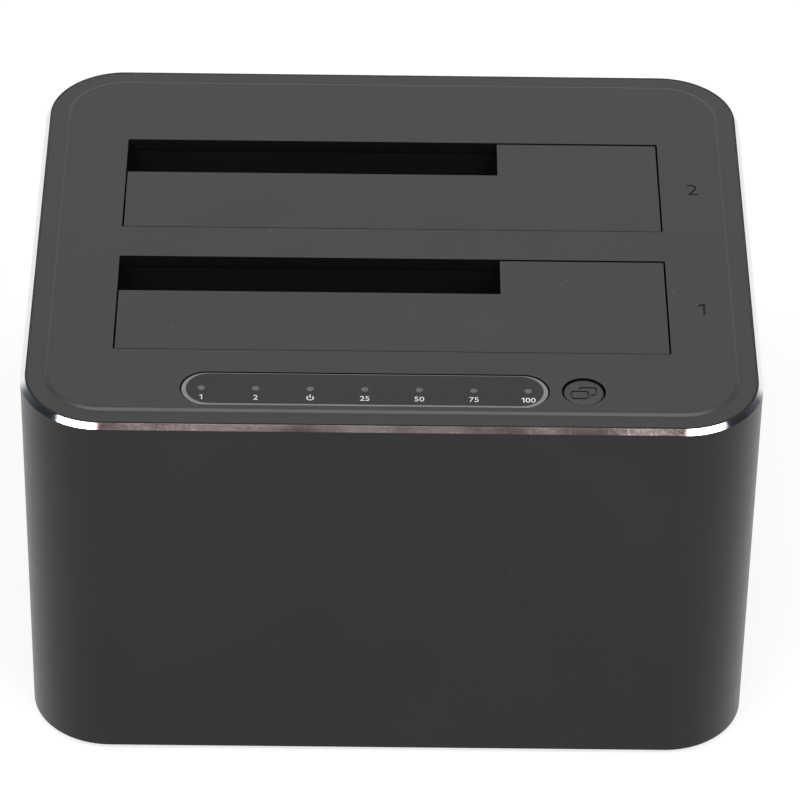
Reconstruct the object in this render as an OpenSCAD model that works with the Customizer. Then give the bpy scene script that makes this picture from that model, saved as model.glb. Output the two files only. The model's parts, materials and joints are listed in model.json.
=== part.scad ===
// Two-bay hard drive docking station.
// An aluminium sleeve is trapped between a moulded top panel and a base plate. Under the panel
// hangs a drive cradle with two wells, and under the cradle the main board with its sockets.
// Millimetres, +Z up, front towards -Y, origin in the middle of the footprint on the table.

/* [Housing] */
// Outer width of the sleeve
body_w = 137; // [124:0.5:160]
// Outer depth of the sleeve
body_d = 113.5; // [104:0.5:140]
// Height of the sleeve
sleeve_h = 78.5; // [76:0.5:110]
// Outer corner radius of the sleeve
corner_r = 15.4; // [14:0.1:17]
// Wall of the sleeve
sleeve_wall = 2.4; // [2.2:0.1:3]
// Bright chamfer along the top rim
rim_chamfer = 0.9; // [0.6:0.05:1]
// Flat land between the chamfer and the panel's seat
rim_land = 0.3; // [0.2:0.05:0.4]

/* [Top panel] */
// Thickness of the panel at its edge
panel_t = 2; // [1.8:0.1:3]
// Distance from the sleeve's outer face to the foot of the raised field
field_inset = 4.4; // [3.5:0.1:5]
// Height of the raised field
field_rise = 0.45; // [0.3:0.05:0.8]
// Width of the slope round the raised field
field_slope = 0.7; // [0.4:0.1:1]

/* [Drive bays] */
// Distance from the sleeve's side faces to the bays' mouths
side_strip = 16.7; // [15.5:0.1:20]
// Distance from the sleeve's front face to the front bay's mouth
front_strip = 22.35; // [21:0.05:25]
// Distance from the rear bay's mouth to the sleeve's rear face
rear_strip = 24.45; // [23:0.05:30]
// Width of the panel between the two mouths
bay_web = 9.3; // [8.5:0.1:12]
// Width of the cut-out for a small drive
notch_w = 72.2; // [71:0.1:74]
// Depth of the cut-out for a small drive
notch_d = 10.8; // [10:0.1:12]
// Wall of the drive cradle
cradle_wall = 1.6; // [1.4:0.1:1.8]
// Room beside a bay's mouth for the flap's stops
side_room = 1.8; // [1.6:0.1:2.2]
// Room in front of a bay's mouth for the folded flap
fold_room = 3; // [2.9:0.1:3.2]
// Thickness of the cradle's floor
floor_t = 1.6; // [1.4:0.1:2]
// Height of the guide ribs above the floor
guide_h = 23; // [18:0.5:24]

/* [Flaps] */
// Thickness of a flap
flap_t = 2; // [1.8:0.1:2.2]
// Seam at each end of a flap
flap_side_gap = 0.35; // [0.3:0.05:0.5]
// Seam along the hinged edge
flap_front_gap = 0.15; // [0.1:0.05:0.3]
// Seam along the free edge, wide enough for its swing
flap_rear_gap = 0.5; // [0.45:0.05:0.7]
// Depth of the hinge axis under the panel
hinge_drop = 2.3; // [2.2:0.05:2.5]
// How far an open flap's face lies behind the mouth's front edge
fold_inset = 1.4; // [1.2:0.1:1.6]
// Diameter of a hinge pin
pin_d = 2; // [1.6:0.1:2.2]
// Diameter of a flap's knuckles
knuckle_d = 3.8; // [3.4:0.1:4]
// Length of a knuckle
knuckle_l = 12; // [8:0.5:14]
// How far an arm runs back from the hinge axis under the flap
arm_l = 8.5; // [7:0.5:9]
// Thickness of the panel's hinge ears
ear_t = 3; // [2.5:0.1:3.5]
// Reach of a flap's stops under the panel
stop_reach = 1.1; // [0.8:0.1:1.2]
// Wire of a flap spring
spring_wire = 0.5; // [0.4:0.05:0.55]
// Mean diameter of a spring's coil
spring_coil_d = 3.6; // [3.4:0.1:3.7]
// Turns of a spring
spring_turns = 5; // [3:1:7]
// Rise of each turn along the pin
spring_pitch = 1; // [0.95:0.05:1.3]
// Leg that bears on the panel
panel_leg = 4; // [3:0.5:4.5]
// Leg that bears on the flap
flap_leg = 14; // [12:0.5:17]

/* [Indicators and button] */
// Distance of the indicator row from the sleeve's front face
row_inset = 10.95; // [10.7:0.05:11.2]
// Length of the indicator window
window_l = 67.9; // [66:0.1:69]
// Width of the indicator window
window_w = 9.7; // [9:0.1:10]
// Thickness of the indicator window
window_t = 1.5; // [1.2:0.1:1.7]
// Middle of the indicator window, left to right
window_x = -5; // [-6:0.1:-4]
// Bevel round the window's upper edge
window_bevel = 0.45; // [0.3:0.05:0.6]
// Ledge that carries the window
window_ledge = 1.2; // [0.8:0.1:1.5]
// Number of indicator lamps
led_count = 7; // [3:1:7]
// Distance of the end lamps from the window's ends
lamp_inset = 3.95; // [3:0.05:6]
// Diameter of a light pipe
pipe_d = 1.35; // [1:0.05:1.6]
// Diameter of the clone button
button_d = 7.6; // [7:0.1:8]
// Gap between the window's end and the clone button
button_space = 2.45; // [2:0.05:4]
// Depth of the button's face under the field
button_sink = 0.2; // [0:0.05:0.4]
// Travel of the clone button
button_travel = 0.5; // [0.3:0.05:0.6]

/* [Boards] */
// Thickness of the main board
board_t = 1.6; // [1.2:0.1:2]
// Height of the main board over the base plate
board_stand = 7; // [6:0.5:9]
// Room between the main board and the cradle's floor
floor_gap = 1.9; // [1.7:0.1:2.4]
// Distance of the indicator board's screws from its ends
control_margin = 3.3; // [3:0.1:6]
// Width of the indicator board
control_w = 13; // [12:0.1:14]
// Depth of the indicator board under the panel
control_drop = 6.2; // [6:0.1:7]
// Width of the ribbon cable
ribbon_w = 11; // [8:0.5:14]
// Thickness of the ribbon cable
ribbon_t = 0.3; // [0.25:0.05:0.5]
// Bow of the ribbon cable
ribbon_bow = 3; // [2:0.5:3.5]

/* [Sockets] */
// Middle of a drive socket from the mouth's left end
sata_x = 31.1; // [30.5:0.1:32]
// Middle of a drive socket from the mouth's rear edge
sata_y = 3.9; // [3.8:0.1:4.4]
// Length of a drive socket
sata_l = 44; // [43:0.1:45]
// Width of a drive socket
sata_w = 6.2; // [6:0.1:6.6]
// Height of a drive socket over the main board
sata_h = 9; // [8:0.1:10]
// Width of the USB socket
usb_w = 12.1; // [11.8:0.1:12.5]
// Height of the USB socket
usb_h = 13.2; // [13:0.1:13.6]
// Depth of the USB socket
usb_d = 17; // [14:0.5:17.5]
// Width of the power inlet
dc_w = 9.2; // [9:0.1:10]
// Height of the power inlet
dc_h = 11; // [10.8:0.1:12]
// Depth of the power inlet
dc_d = 14; // [12:0.5:16]
// Bore of the power inlet
dc_bore_d = 6.3; // [6:0.1:6.6]
// Diameter of the power inlet's centre pin
dc_pin_d = 2; // [1.9:0.1:2.5]
// Spacing of the USB socket, power inlet and power button
port_pitch = 24; // [20:0.5:26]
// Diameter of the power button
power_d = 8; // [6:0.1:9]
// How far the power button stands out when off
power_proud = 1.5; // [1.2:0.1:1.7]
// Room round the ports in the sleeve
port_room = 0.6; // [0.3:0.1:1]

/* [Base] */
// Thickness of the base plate
base_t = 2; // [1.8:0.1:3]
// How far the base plate sits up inside the sleeve
base_lift = 0.2; // [0.1:0.1:0.4]
// Diameter of a foot
foot_d = 10; // [8:0.5:12]
// How far the feet hold the sleeve off the table
foot_h = 1; // [0.8:0.1:2]
// Distance of a foot's middle from the sleeve's outer faces
foot_inset = 16; // [14:0.5:18]
// Diameter of the screws
screw_d = 2.9; // [2.5:0.1:3]
// Diameter of the screw heads
head_d = 5.6; // [5:0.1:5.8]
// Height of the screw heads
head_h = 1.8; // [1.5:0.1:2]
// Diameter of the screw posts
post_d = 7; // [6.5:0.1:7.2]

/* [Fits] */
// Gap round pieces that drop into a seat
seat_gap = 0.2; // [0.1:0.05:0.25]
// Gap round pieces that are held still
hold_gap = 0.05; // [0.03:0.01:0.1]
// Radial clearance of a hinge pin in the knuckles
pin_gap = 0.05; // [0.03:0.01:0.08]
// Radial gap round the buttons
button_gap = 0.25; // [0.2:0.05:0.3]

/* [Hidden] */
$fn = 64;

// Overlap of shapes that are joined, and overshoot of cuts
lap = 0.5;

// Heights
sleeve_z0 = foot_h;
sleeve_z1 = sleeve_z0 + sleeve_h;
seat_z = sleeve_z1 - panel_t;
field_z = sleeve_z1 + field_rise;
base_z0 = sleeve_z0 + base_lift;
base_z1 = base_z0 + base_t;
board_z0 = base_z1 + board_stand;
board_z1 = board_z0 + board_t;
floor_z0 = board_z1 + floor_gap;
floor_z1 = floor_z0 + floor_t;
cradle_z1 = seat_z - seat_gap;
control_z1 = seat_z - control_drop;
control_t = 1.2;
control_z0 = control_z1 - control_t;
guide_plate_t = 0.7;
led_h = 1.1;

// Outlines
rim_inset = rim_chamfer + rim_land;
panel_inset = rim_inset + seat_gap;
front_y = -body_d / 2;
rear_wall_y = body_d / 2 - sleeve_wall;
row_y = front_y + row_inset;

// Bays: each is placed by the front edge of its mouth
bay_w = body_w - 2 * side_strip;
bay_d = (body_d - front_strip - bay_web - rear_strip) / 2;
front_bay = front_y + front_strip;
rear_bay = front_bay + bay_d + bay_web;
bays = [front_bay, rear_bay];
bays_y = (front_bay + rear_bay + bay_d) / 2;
function bay_mid(bay) = bay + bay_d / 2;
rear_room = 0.2;
rib_t = 1.5;
rib_clear = 0.2;
rib_proud = 1;
rib_inset = 11.8;
rib_x = bay_w / 2 - rib_inset;
tie_t = 2;
well_w = bay_w + 2 * side_room;
well_d = fold_room + bay_d + rear_room;
cradle_w = well_w + 2 * cradle_wall;

// Flaps and their hinges
flap_z0 = field_z - flap_t;
flap_w = bay_w - 2 * flap_side_gap;
flap_d = bay_d - flap_front_gap - flap_rear_gap;
hinge_z = seat_z - hinge_drop;
hinge_back = field_z - hinge_z - fold_inset;
arm_tip = 0.8;
ear_gap = 0.5;
ear_r = 2.2;
stop_gap = 0.1;
stop_t = 1.4;
stop_root = 2;
stop_l = 6;
stop_y = 12;
relief_gap = 1;
relief_behind = 2;
relief_z = hinge_z - arm_l - relief_gap;
function hinge_y(bay) = bay - hinge_back;

// Springs
spring_space = 1.95;
spring_x = -flap_w / 2 + knuckle_l + spring_space;
spring_touch = 0.03;
spring_r = spring_coil_d / 2;
spring_steps = 16;
wire_sides = 6;
panel_leg_tilt = atan((hinge_drop - spring_wire / 2 - spring_touch - spring_r) / panel_leg);
flap_leg_tilt = atan((flap_z0 - hinge_z - spring_wire / 2 - spring_touch - spring_r) / flap_leg);

// Screw posts beside the cradle, and the board's screws under it
post_gap = 0.5;
post_x = cradle_w / 2 + post_d / 2 + post_gap;
post_reach = post_x - cradle_w / 2 + lap;
leg_offset = 10;
leg_ys = [bay_mid(front_bay) - leg_offset, bay_mid(rear_bay) + leg_offset];
leg_rise = 15;
leg_top = floor_z1 + leg_rise;
leg_rib_t = 2;
tab_ys = [for (bay = bays) bay_mid(bay)];
tab_t = 3;
gusset_h = 9;
gusset_t = 1.2;
driver_gap = 0.5;
tab_w = head_d + 2 * (gusset_t + seat_gap + driver_gap);
panel_boss_h = 5.5;
panel_boss_d = 6;
tab_z1 = seat_z - panel_boss_h;
tab_z0 = tab_z1 - tab_t;
boss_h = 3;
boss_d = 9;
leg_z0 = base_z1 + boss_h;
boss_web = 1.8;
counterbore_z = leg_z0 - boss_web;
counterbore_gap = 0.4;
screw_hole_gap = 0.25;
thread_gap = 0.02;
base_screw_l = 12;
screw_short = 1;
blind_skin = 0.3;
board_screw_inset = 3.8;
board_screw_x = bay_w / 2 - board_screw_inset;
board_screw_offset = 6;
board_screw_ys = [for (bay = bays) bay_mid(bay) - board_screw_offset];

// Main board
board_side_gap = 0.5;
board_front_inset = 7.2;
board_rear_gap = 2;
board_w = cradle_w - 2 * board_side_gap;
board_front_y = front_y + board_front_inset;
board_rear_y = rear_wall_y - board_rear_gap;

// Ports along the rear edge of the main board
port_back = 0.3;
port_y = rear_wall_y - port_back;
usb_x = -port_pitch;
dc_x = 0;
power_x = port_pitch;
usb_z = board_z1 + usb_h / 2;
dc_axis_h = 6.5;
dc_z = board_z1 + dc_axis_h;
dc_bore_l = 9.5;
dc_face_t = 1.5;
dc_neck_gap = 0.2;
dc_pin_root = 2;
dc_pin_sink = 1;
power_axis_h = 5.5;
power_z = board_z1 + power_axis_h;
power_tip_y = body_d / 2 + power_proud;
power_cap_l = 7;
power_cap_y = power_tip_y - power_cap_l;
power_travel = 1.2;
stem_w = 3;
stem_l = 5;
switch_w = 8.6;
switch_h = 9.6;
switch_l = 11;
switch_gap = 1;
switch_y = power_cap_y - power_travel - switch_gap;
power_edge = 0.5;
shell_t = 0.4;
insert_back = 0.6;
mouth_depth = 9;
mouth_lift = 1.3;
mouth_z = board_z1 + mouth_lift;
mouth_w = 8.5;
mouth_h = 7.8;
mouth_cut = 1.4;
mouth_top_w = 5.7;
mouth_top_h = 2.6;
tongue_back = 1.25;
tongue_z = 2.3;
tongue_size = [5.6, 3.2];
top_tongue_z = 8.4;
top_tongue_size = [4.2, 0.9];

// Drive sockets
contact_pitch = 1.27;
signal_pins = 7;
power_pins = 15;
sata_z1 = board_z1 + sata_h;
slot_depth = 6.2;
slot_w = 2.4;
signal_slot_l = 10.7;
power_slot_l = 21.1;
key_l = 1.2;
key_w = 1.3;
slot_wall = 2.2;
slots_l = power_slot_l + slot_wall + signal_slot_l;
power_slot_x = -slots_l / 2 + power_slot_l / 2;
signal_slot_x = slots_l / 2 - signal_slot_l / 2;
contact_size = [0.7, 0.4];
contact_inset = 0.2;
contact_drop = 0.8;
socket_end_step = 1;
socket_side_step = 0.5;
horn_h = 2;
horn_w = 2;
horn_inset = 2;
horn_side_step = 1.2;
function sata_mid_x() = -bay_w / 2 + sata_x;
function sata_mid_y(bay) = bay + bay_d - sata_y;

// Ribbon cable
ribbon_x = -12;
ribbon_back = 0.5;
ribbon_y = row_y - ribbon_back;
connector_w = 3.4;
connector_h = 4;
connector_end = 1.25;
ribbon_z0 = board_z1 + connector_h;
ribbon_z1 = control_z0 - connector_h;

// Board pieces: the choke and one capacitor stand beside the ports, the rest along the front
chip_x = 28;
chip_w = 12;
chip_h = 1.4;
chip_stand = 0.1;
chip_leads = 12;
lead_pitch = 0.8;
lead_size = [0.35, 1.6, 0.3];
lead_out = 0.5;
front_row_inset = 6;
front_row_y = board_front_y + front_row_inset;
regulator_inset = 14.7;
regulator_size = [6.5, 5.5, 1.6];
regulator_tab = [5.2, 3, 0.6];
regulator_tab_y = 4;
choke_space = 10.6;
choke_x = port_pitch + choke_space;
choke_inset = 8.5;
choke_y = board_rear_y - choke_inset;
choke_w = 7;
choke_h = 3.8;
choke_dish_d = 4.6;
choke_dish = 0.4;
capacitor_d = 6.3;
capacitor_h = 11;
capacitor_groove = 0.3;
capacitor_rim = 0.4;
capacitor_space = 7.9;
capacitor_inset = 4.2;

// Clone button and the screws beside it
led_pitch = (window_l - 2 * lamp_inset) / (led_count - 1);
led_size = [3.2, 1.6];
pipe_gap = 0.3;
button_x = window_x + window_l / 2 + button_space + button_d / 2;
button_edge = 0.3;
button_stem_d = 4;
control_boss_d = 5;
control_screw_space = 4.7;
control_screw_x = button_x + button_d / 2 + control_screw_space;
control_l = 2 * (control_screw_x + control_margin);
flange_lip = 1;
flange_d = button_d + 2 * flange_lip;
flange_t = 1;
flange_gap = 0.1;
tact_w = 6;
tact_h = 3.5;
tact_floor = 1;
tact_stem_d = 3.4;
tact_stem_gap = 0.5;
tact_z1 = control_z1 + tact_h;
plunger_z0 = control_z1 + tact_floor + button_travel + tact_stem_gap;
plunger_z1 = tact_z1 + button_travel + pipe_gap;

// Feet
foot_seat = 0.4;
foot_edge = 0.4;

// Rounded rectangle from straight bars and corner discs
module round_rect(w, d, r) {
    square([w - 2 * r, d], center = true);
    square([w, d - 2 * r], center = true);
    for (sx = [-1, 1], sy = [-1, 1])
        translate([sx * (w / 2 - r), sy * (d / 2 - r)]) circle(r);
}

// The body's plan outline, drawn in by a distance
module outline(inset) {
    round_rect(body_w - 2 * inset, body_d - 2 * inset, corner_r - inset);
}

// Bar with round ends
module stadium(l, w) {
    square([l - w, w], center = true);
    for (sx = [-1, 1]) translate([sx * (l - w) / 2, 0]) circle(w / 2);
}

// Carries a wall section round the body's outline; its x is measured out from the corner centres
module around_body() {
    run_x = body_w - 2 * corner_r;
    run_y = body_d - 2 * corner_r;
    corners = [[1, 1], [-1, 1], [-1, -1], [1, -1]];
    for (turn = [0:3]) {
        along_y = turn % 2 == 0;
        translate([corners[turn].x * run_x / 2, corners[turn].y * run_y / 2])
            rotate(90 * turn) rotate_extrude(angle = 90) children();
        rotate(90 * turn) translate([(along_y ? run_x : run_y) / 2, 0])
            rotate([90, 0, 0]) linear_extrude(along_y ? run_y : run_x, center = true) children();
    }
}

// Lays a section drawn as [y, z] along X
module along_x(l) {
    rotate([90, 0, 90]) linear_extrude(l, center = true) children();
}

// Lays a round bar along X or Y
module bar_x(d, l) { rotate([0, 90, 0]) cylinder(d = d, h = l, center = true); }
module bar_y(d, l) { rotate([-90, 0, 0]) cylinder(d = d, h = l); }

// Box given by its middle in plan, its size and its lowest height
module block(x, y, z, size) {
    translate([x - size.x / 2, y - size.y / 2, z]) cube(size);
}

// Pan-head screw with its head's seat at z, pointing up
module screw(x, y, z, l) {
    translate([x, y, z - head_h]) cylinder(d = head_d, h = head_h);
    translate([x, y, z - lap]) cylinder(d = screw_d, h = l + lap);
}

// Sleeve: one extruded wall with a seat for the panel and one for the base
module sleeve_section() {
    outer = corner_r;
    seat = corner_r - rim_inset;
    inner = corner_r - sleeve_wall;
    polygon([
        [seat, sleeve_z0], [outer, sleeve_z0], [outer, sleeve_z1 - rim_chamfer],
        [outer - rim_chamfer, sleeve_z1], [seat, sleeve_z1], [seat, seat_z], [inner, seat_z],
        [inner, base_z1], [seat, base_z1]
    ]);
}

module port_windows() {
    depth = sleeve_wall + 2 * lap;
    y = rear_wall_y - lap;
    usb_size = [usb_w + 2 * port_room, depth, usb_h + 2 * port_room];
    block(usb_x, y + depth / 2, usb_z - usb_size.z / 2, usb_size);
    translate([dc_x, y, dc_z]) bar_y(dc_w + 2 * port_room, depth);
    translate([power_x, y, power_z]) bar_y(power_d + 2 * button_gap, depth);
}

module sleeve() color("#3b3b3e") difference() {
    around_body() sleeve_section();
    port_windows();
}

// Top panel
module bay_mouth(bay) {
    translate([-bay_w / 2, bay, seat_z - lap]) cube([bay_w, bay_d, panel_t + field_rise + 2 * lap]);
}

module hinge_ear_section() {
    circle(ear_r);
    translate([-ear_r, 0]) square([2 * ear_r, hinge_drop + lap]);
}

module hinge_ears(bay) {
    for (sx = [-1, 1])
        translate([sx * (bay_w / 2 + ear_gap + ear_t / 2), hinge_y(bay), hinge_z])
            along_x(ear_t) hinge_ear_section();
}

module panel_boss(x, y, d, h) {
    translate([x, y, seat_z - h]) cylinder(d = d, h = h + lap);
}

module panel_blank() {
    translate([0, 0, seat_z]) linear_extrude(panel_t) outline(panel_inset);
    translate([0, 0, sleeve_z1 - lap])
        linear_extrude(field_rise + lap) outline(field_inset + field_slope);
    foot = corner_r - field_inset;
    crest = foot - field_slope;
    around_body() polygon([
        [crest - lap, sleeve_z1 - lap], [foot, sleeve_z1 - lap], [foot, sleeve_z1],
        [crest, field_z], [crest - lap, field_z]
    ]);
    for (bay = bays) hinge_ears(bay);
    for (sx = [-1, 1], y = tab_ys) panel_boss(sx * post_x, y, panel_boss_d, panel_boss_h);
    for (sx = [-1, 1]) panel_boss(sx * control_screw_x, row_y, control_boss_d, control_drop);
}

module top_panel() color("#4f4f50") difference() {
    panel_blank();
    for (bay = bays) {
        bay_mouth(bay);
        translate([0, hinge_y(bay), hinge_z]) bar_x(pin_d + 2 * thread_gap, cradle_w + 4 * ear_t);
    }
    translate([window_x, row_y, field_z - window_t])
        linear_extrude(window_t + lap) stadium(window_l, window_w);
    translate([window_x, row_y, seat_z - lap])
        linear_extrude(panel_t) stadium(window_l - 2 * window_ledge, window_w - 2 * window_ledge);
    translate([button_x, row_y, seat_z - lap])
        cylinder(d = button_d + 2 * button_gap, h = panel_t + field_rise + 2 * lap);
    for (sx = [-1, 1], y = tab_ys)
        translate([sx * post_x, y, tab_z1 - lap])
            cylinder(d = screw_d + 2 * thread_gap, h = panel_boss_h + lap);
    for (sx = [-1, 1])
        translate([sx * control_screw_x, row_y, control_z1 - lap])
            cylinder(d = screw_d + 2 * thread_gap, h = control_drop + lap);
}

// Flap: an L-shaped door with two knuckles on cranked arms and a stop at each end
module knuckle_section() {
    lift = flap_z0 - hinge_z;
    r = knuckle_d / 2;
    step = hinge_back + flap_front_gap;
    circle(r);
    polygon([
        [0, r], [step, r], [step, lift + lap], [arm_l, lift + lap], [arm_l, lift - arm_tip],
        [r * cos(45), -r * sin(45)]
    ]);
}

module flap_stop_section() {
    top = seat_z - stop_gap;
    polygon([
        [-stop_root, flap_z0 + lap], [0, flap_z0 + lap], [0, top], [stop_reach + flap_side_gap, top],
        [stop_reach + flap_side_gap, top - stop_t], [-stop_root, top - stop_t]
    ]);
}

module flap(bay) difference() {
    union() {
        difference() {
            translate([-flap_w / 2, bay + flap_front_gap, flap_z0]) cube([flap_w, flap_d, flap_t]);
            translate([-bay_w / 2 - lap, bay + bay_d - notch_d, flap_z0 - lap])
                cube([notch_w + lap, notch_d + lap, flap_t + 2 * lap]);
        }
        for (sx = [-1, 1]) {
            translate([sx * (flap_w - knuckle_l) / 2, hinge_y(bay), hinge_z])
                along_x(knuckle_l) knuckle_section();
            mirror([sx < 0 ? 1 : 0, 0, 0])
                translate([flap_w / 2, bay + stop_y + stop_l, 0])
                    rotate([90, 0, 0]) linear_extrude(stop_l) flap_stop_section();
        }
    }
    translate([0, hinge_y(bay), hinge_z]) bar_x(pin_d + 2 * pin_gap, cradle_w);
}

module front_flap() color("#4f4f50") flap(front_bay);
module rear_flap() color("#4f4f50") flap(rear_bay);

module hinge_pin(bay) {
    translate([0, hinge_y(bay), hinge_z]) bar_x(pin_d, bay_w + 2 * (ear_gap + ear_t - seat_gap));
}

module front_hinge_pin() color("#b9bcc0") hinge_pin(front_bay);
module rear_hinge_pin() color("#b9bcc0") hinge_pin(rear_bay);

// Torsion spring: panel leg, turns and flap leg as one tube about the hinge axis
function out_from_axis(a) = [0, cos(a), sin(a)];
function along_wire(a) = [0, sin(a), -cos(a)];
function wire_angle(t) = 90 - panel_leg_tilt
    - t * (360 * spring_turns - panel_leg_tilt - flap_leg_tilt);
function wire_point(t) = [t * spring_pitch * spring_turns, 0, 0]
    + spring_r * out_from_axis(wire_angle(t));
function wire_ring(p, a) = [
    for (k = [0:wire_sides - 1])
        p + spring_wire / 2 * (cos(360 * k / wire_sides) * out_from_axis(a)
            + sin(360 * k / wire_sides) * [1, 0, 0])
];

module torsion_spring() {
    steps = spring_turns * spring_steps;
    turns = [for (i = [0:steps]) wire_ring(wire_point(i / steps), wire_angle(i / steps))];
    first = wire_ring(wire_point(0) - panel_leg * along_wire(wire_angle(0)), wire_angle(0));
    last = wire_ring(wire_point(1) + flap_leg * along_wire(wire_angle(1)), wire_angle(1));
    rings = concat([first], turns, [last]);
    n = wire_sides;
    end = (len(rings) - 1) * n;
    sides = [
        for (i = [0:len(rings) - 2], k = [0:n - 1])
            let (a = i * n + k, b = i * n + (k + 1) % n)
                each [[a, a + n, b + n], [a, b + n, b]]
    ];
    caps = [for (k = [1:n - 2]) each [[0, k, k + 1], [end, end + k + 1, end + k]]];
    polyhedron(points = [for (r = rings) each r], faces = concat(sides, caps));
}

module flap_spring(bay) { translate([spring_x, hinge_y(bay), hinge_z]) torsion_spring(); }

module front_flap_spring() color("#c4c6c9") flap_spring(front_bay);
module rear_flap_spring() color("#c4c6c9") flap_spring(rear_bay);

// Indicator row: window, light guide, lamps and board
function led_x(i) = window_x + (i - (led_count - 1) / 2) * led_pitch;

module at_leds() {
    for (i = [0:led_count - 1]) translate([led_x(i), row_y, 0]) children();
}

// Bar with round ends whose upper edge is bevelled
module bevelled_stadium(l, w, h, bevel) {
    linear_extrude(h - bevel) stadium(l, w);
    translate([0, 0, h - bevel]) {
        rotate([90, 0, 90]) linear_extrude(l - w, center = true) polygon([
            [-w / 2, -lap], [w / 2, -lap], [w / 2, 0], [w / 2 - bevel, bevel], [bevel - w / 2, bevel],
            [-w / 2, 0]
        ]);
        for (sx = [-1, 1]) translate([sx * (l - w) / 2, 0, 0])
            cylinder(d1 = w, d2 = w - 2 * bevel, h = bevel);
    }
}

module indicator_window() color("#343335") difference() {
    translate([window_x, row_y, field_z - window_t])
        bevelled_stadium(window_l - 2 * hold_gap, window_w - 2 * hold_gap, window_t, window_bevel);
    at_leds() translate([0, 0, seat_z]) cylinder(d = pipe_d + 2 * hold_gap, h = panel_t + 2 * lap);
}

module light_guide() color("#c9c9c6") {
    inner_l = window_l - 2 * (window_ledge + hold_gap);
    inner_w = window_w - 2 * (window_ledge + hold_gap);
    translate([window_x, row_y, field_z - window_t - guide_plate_t])
        linear_extrude(guide_plate_t) stadium(inner_l, inner_w);
    at_leds() translate([0, 0, control_z1 + led_h + pipe_gap])
        cylinder(d = pipe_d, h = field_z - control_z1 - led_h - pipe_gap);
}

module status_leds() color("#e8e6d8") at_leds()
    block(0, 0, control_z1, [led_size.x, led_size.y, led_h]);

module control_board() color("#1f5a3a") difference() {
    block(0, row_y, control_z0, [control_l, control_w, control_t]);
    for (sx = [-1, 1]) translate([sx * control_screw_x, row_y, control_z0 - lap])
        cylinder(d = screw_d + 2 * screw_hole_gap, h = control_t + 2 * lap);
}

module control_screws() color("#aeb1b5")
    for (sx = [-1, 1])
        screw(sx * control_screw_x, row_y, control_z0, control_t + control_drop - screw_short);

// Clone button, its switch and the switch's plunger
module clone_button() color("#4b4b4c") translate([button_x, row_y, 0]) {
    flange_z1 = seat_z - flange_gap;
    edge_z = field_z - button_sink - button_edge;
    translate([0, 0, edge_z])
        cylinder(d1 = button_d, d2 = button_d - 2 * button_edge, h = button_edge);
    translate([0, 0, flange_z1 - lap]) cylinder(d = button_d, h = edge_z - flange_z1 + lap);
    translate([0, 0, flange_z1 - flange_t]) cylinder(d = flange_d, h = flange_t);
    translate([0, 0, plunger_z1]) cylinder(d = button_stem_d, h = flange_z1 - plunger_z1);
}

module button_switch() color("#2a2a2c") difference() {
    block(button_x, row_y, control_z1, [tact_w, tact_w, tact_h]);
    translate([button_x, row_y, control_z1 + tact_floor])
        cylinder(d = tact_stem_d + 2 * button_gap, h = tact_h);
}

module button_plunger() color("#d8d8d4")
    translate([button_x, row_y, plunger_z0]) cylinder(d = tact_stem_d, h = plunger_z1 - plunger_z0);

// Ribbon cable between the two boards, bowed forward, and its connectors
module ribbon_cable() color("#d9d6cc") translate([ribbon_x, 0, 0]) along_x(ribbon_w) {
    h = ribbon_z1 - ribbon_z0;
    r = (h * h / 4 + ribbon_bow * ribbon_bow) / (2 * ribbon_bow);
    middle = [ribbon_y - ribbon_bow + r, (ribbon_z0 + ribbon_z1) / 2];
    intersection() {
        translate(middle) difference() {
            circle(r + ribbon_t / 2);
            circle(r - ribbon_t / 2);
        }
        translate([ribbon_y - 2 * ribbon_bow, ribbon_z0]) square([3 * ribbon_bow, h]);
    }
}

module ribbon_connectors() color("#e4e1d6") for (z = [board_z1, ribbon_z1])
    block(ribbon_x, ribbon_y, z, [ribbon_w + 2 * connector_end, connector_w, connector_h]);

// Drive cradle: two wells with a common floor, screw tabs, legs and guide ribs
module well_outer(bay) {
    translate([-cradle_w / 2, bay - fold_room - cradle_wall, floor_z0])
        cube([cradle_w, well_d + 2 * cradle_wall, cradle_z1 - floor_z0]);
}

module well_inner(bay) {
    translate([-well_w / 2, bay - fold_room, floor_z1]) cube([well_w, well_d, cradle_z1]);
}

// Open strip over the front wall for the hinge and the folded flap's arms
module hinge_relief(bay) {
    translate([-cradle_w, hinge_y(bay) - ear_r - relief_gap, relief_z])
        cube([2 * cradle_w, hinge_back + ear_r + relief_gap + relief_behind, cradle_z1]);
}

module guide_section(reach) {
    polygon([[0, 0], [reach, 0], [reach, guide_h - 2 * reach], [0, guide_h]]);
}

// Ribs that hold a large drive's faces and edges in the lower half of a well
module guide_ribs(bay) {
    edge_reach = side_room - rib_clear;
    face_reach = fold_room + rib_proud;
    for (sx = [-1, 1], y = [bay + bay_d / 3, bay + bay_d * 2 / 3])
        mirror([sx < 0 ? 1 : 0, 0, 0])
            translate([well_w / 2 + lap, y + rib_t / 2, floor_z1 - lap])
                rotate([90, 0, 0]) linear_extrude(rib_t)
                    mirror([1, 0]) guide_section(edge_reach + lap);
    for (x = [-rib_x, 0, rib_x])
        translate([x, bay - fold_room - lap, floor_z1 - lap])
            along_x(rib_t) guide_section(face_reach + lap);
}

module socket_cut(bay) {
    block(sata_mid_x(), sata_mid_y(bay), floor_z0 - lap,
        [sata_l + 2 * hold_gap, sata_w + 2 * hold_gap, floor_t + 2 * lap]);
}

module screw_tab(y) {
    block(post_x - post_reach / 2, y, tab_z0, [post_reach, tab_w, tab_t]);
    translate([post_x, y, tab_z0]) cylinder(d = tab_w, h = tab_t);
    for (side = [-1, 1])
        translate([cradle_w / 2 - lap, y + (side * (tab_w - gusset_t) + gusset_t) / 2, tab_z0 + lap])
            rotate([90, 0, 0]) linear_extrude(gusset_t)
                polygon([[0, 0], [post_reach, 0], [0, -gusset_h]]);
}

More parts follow.
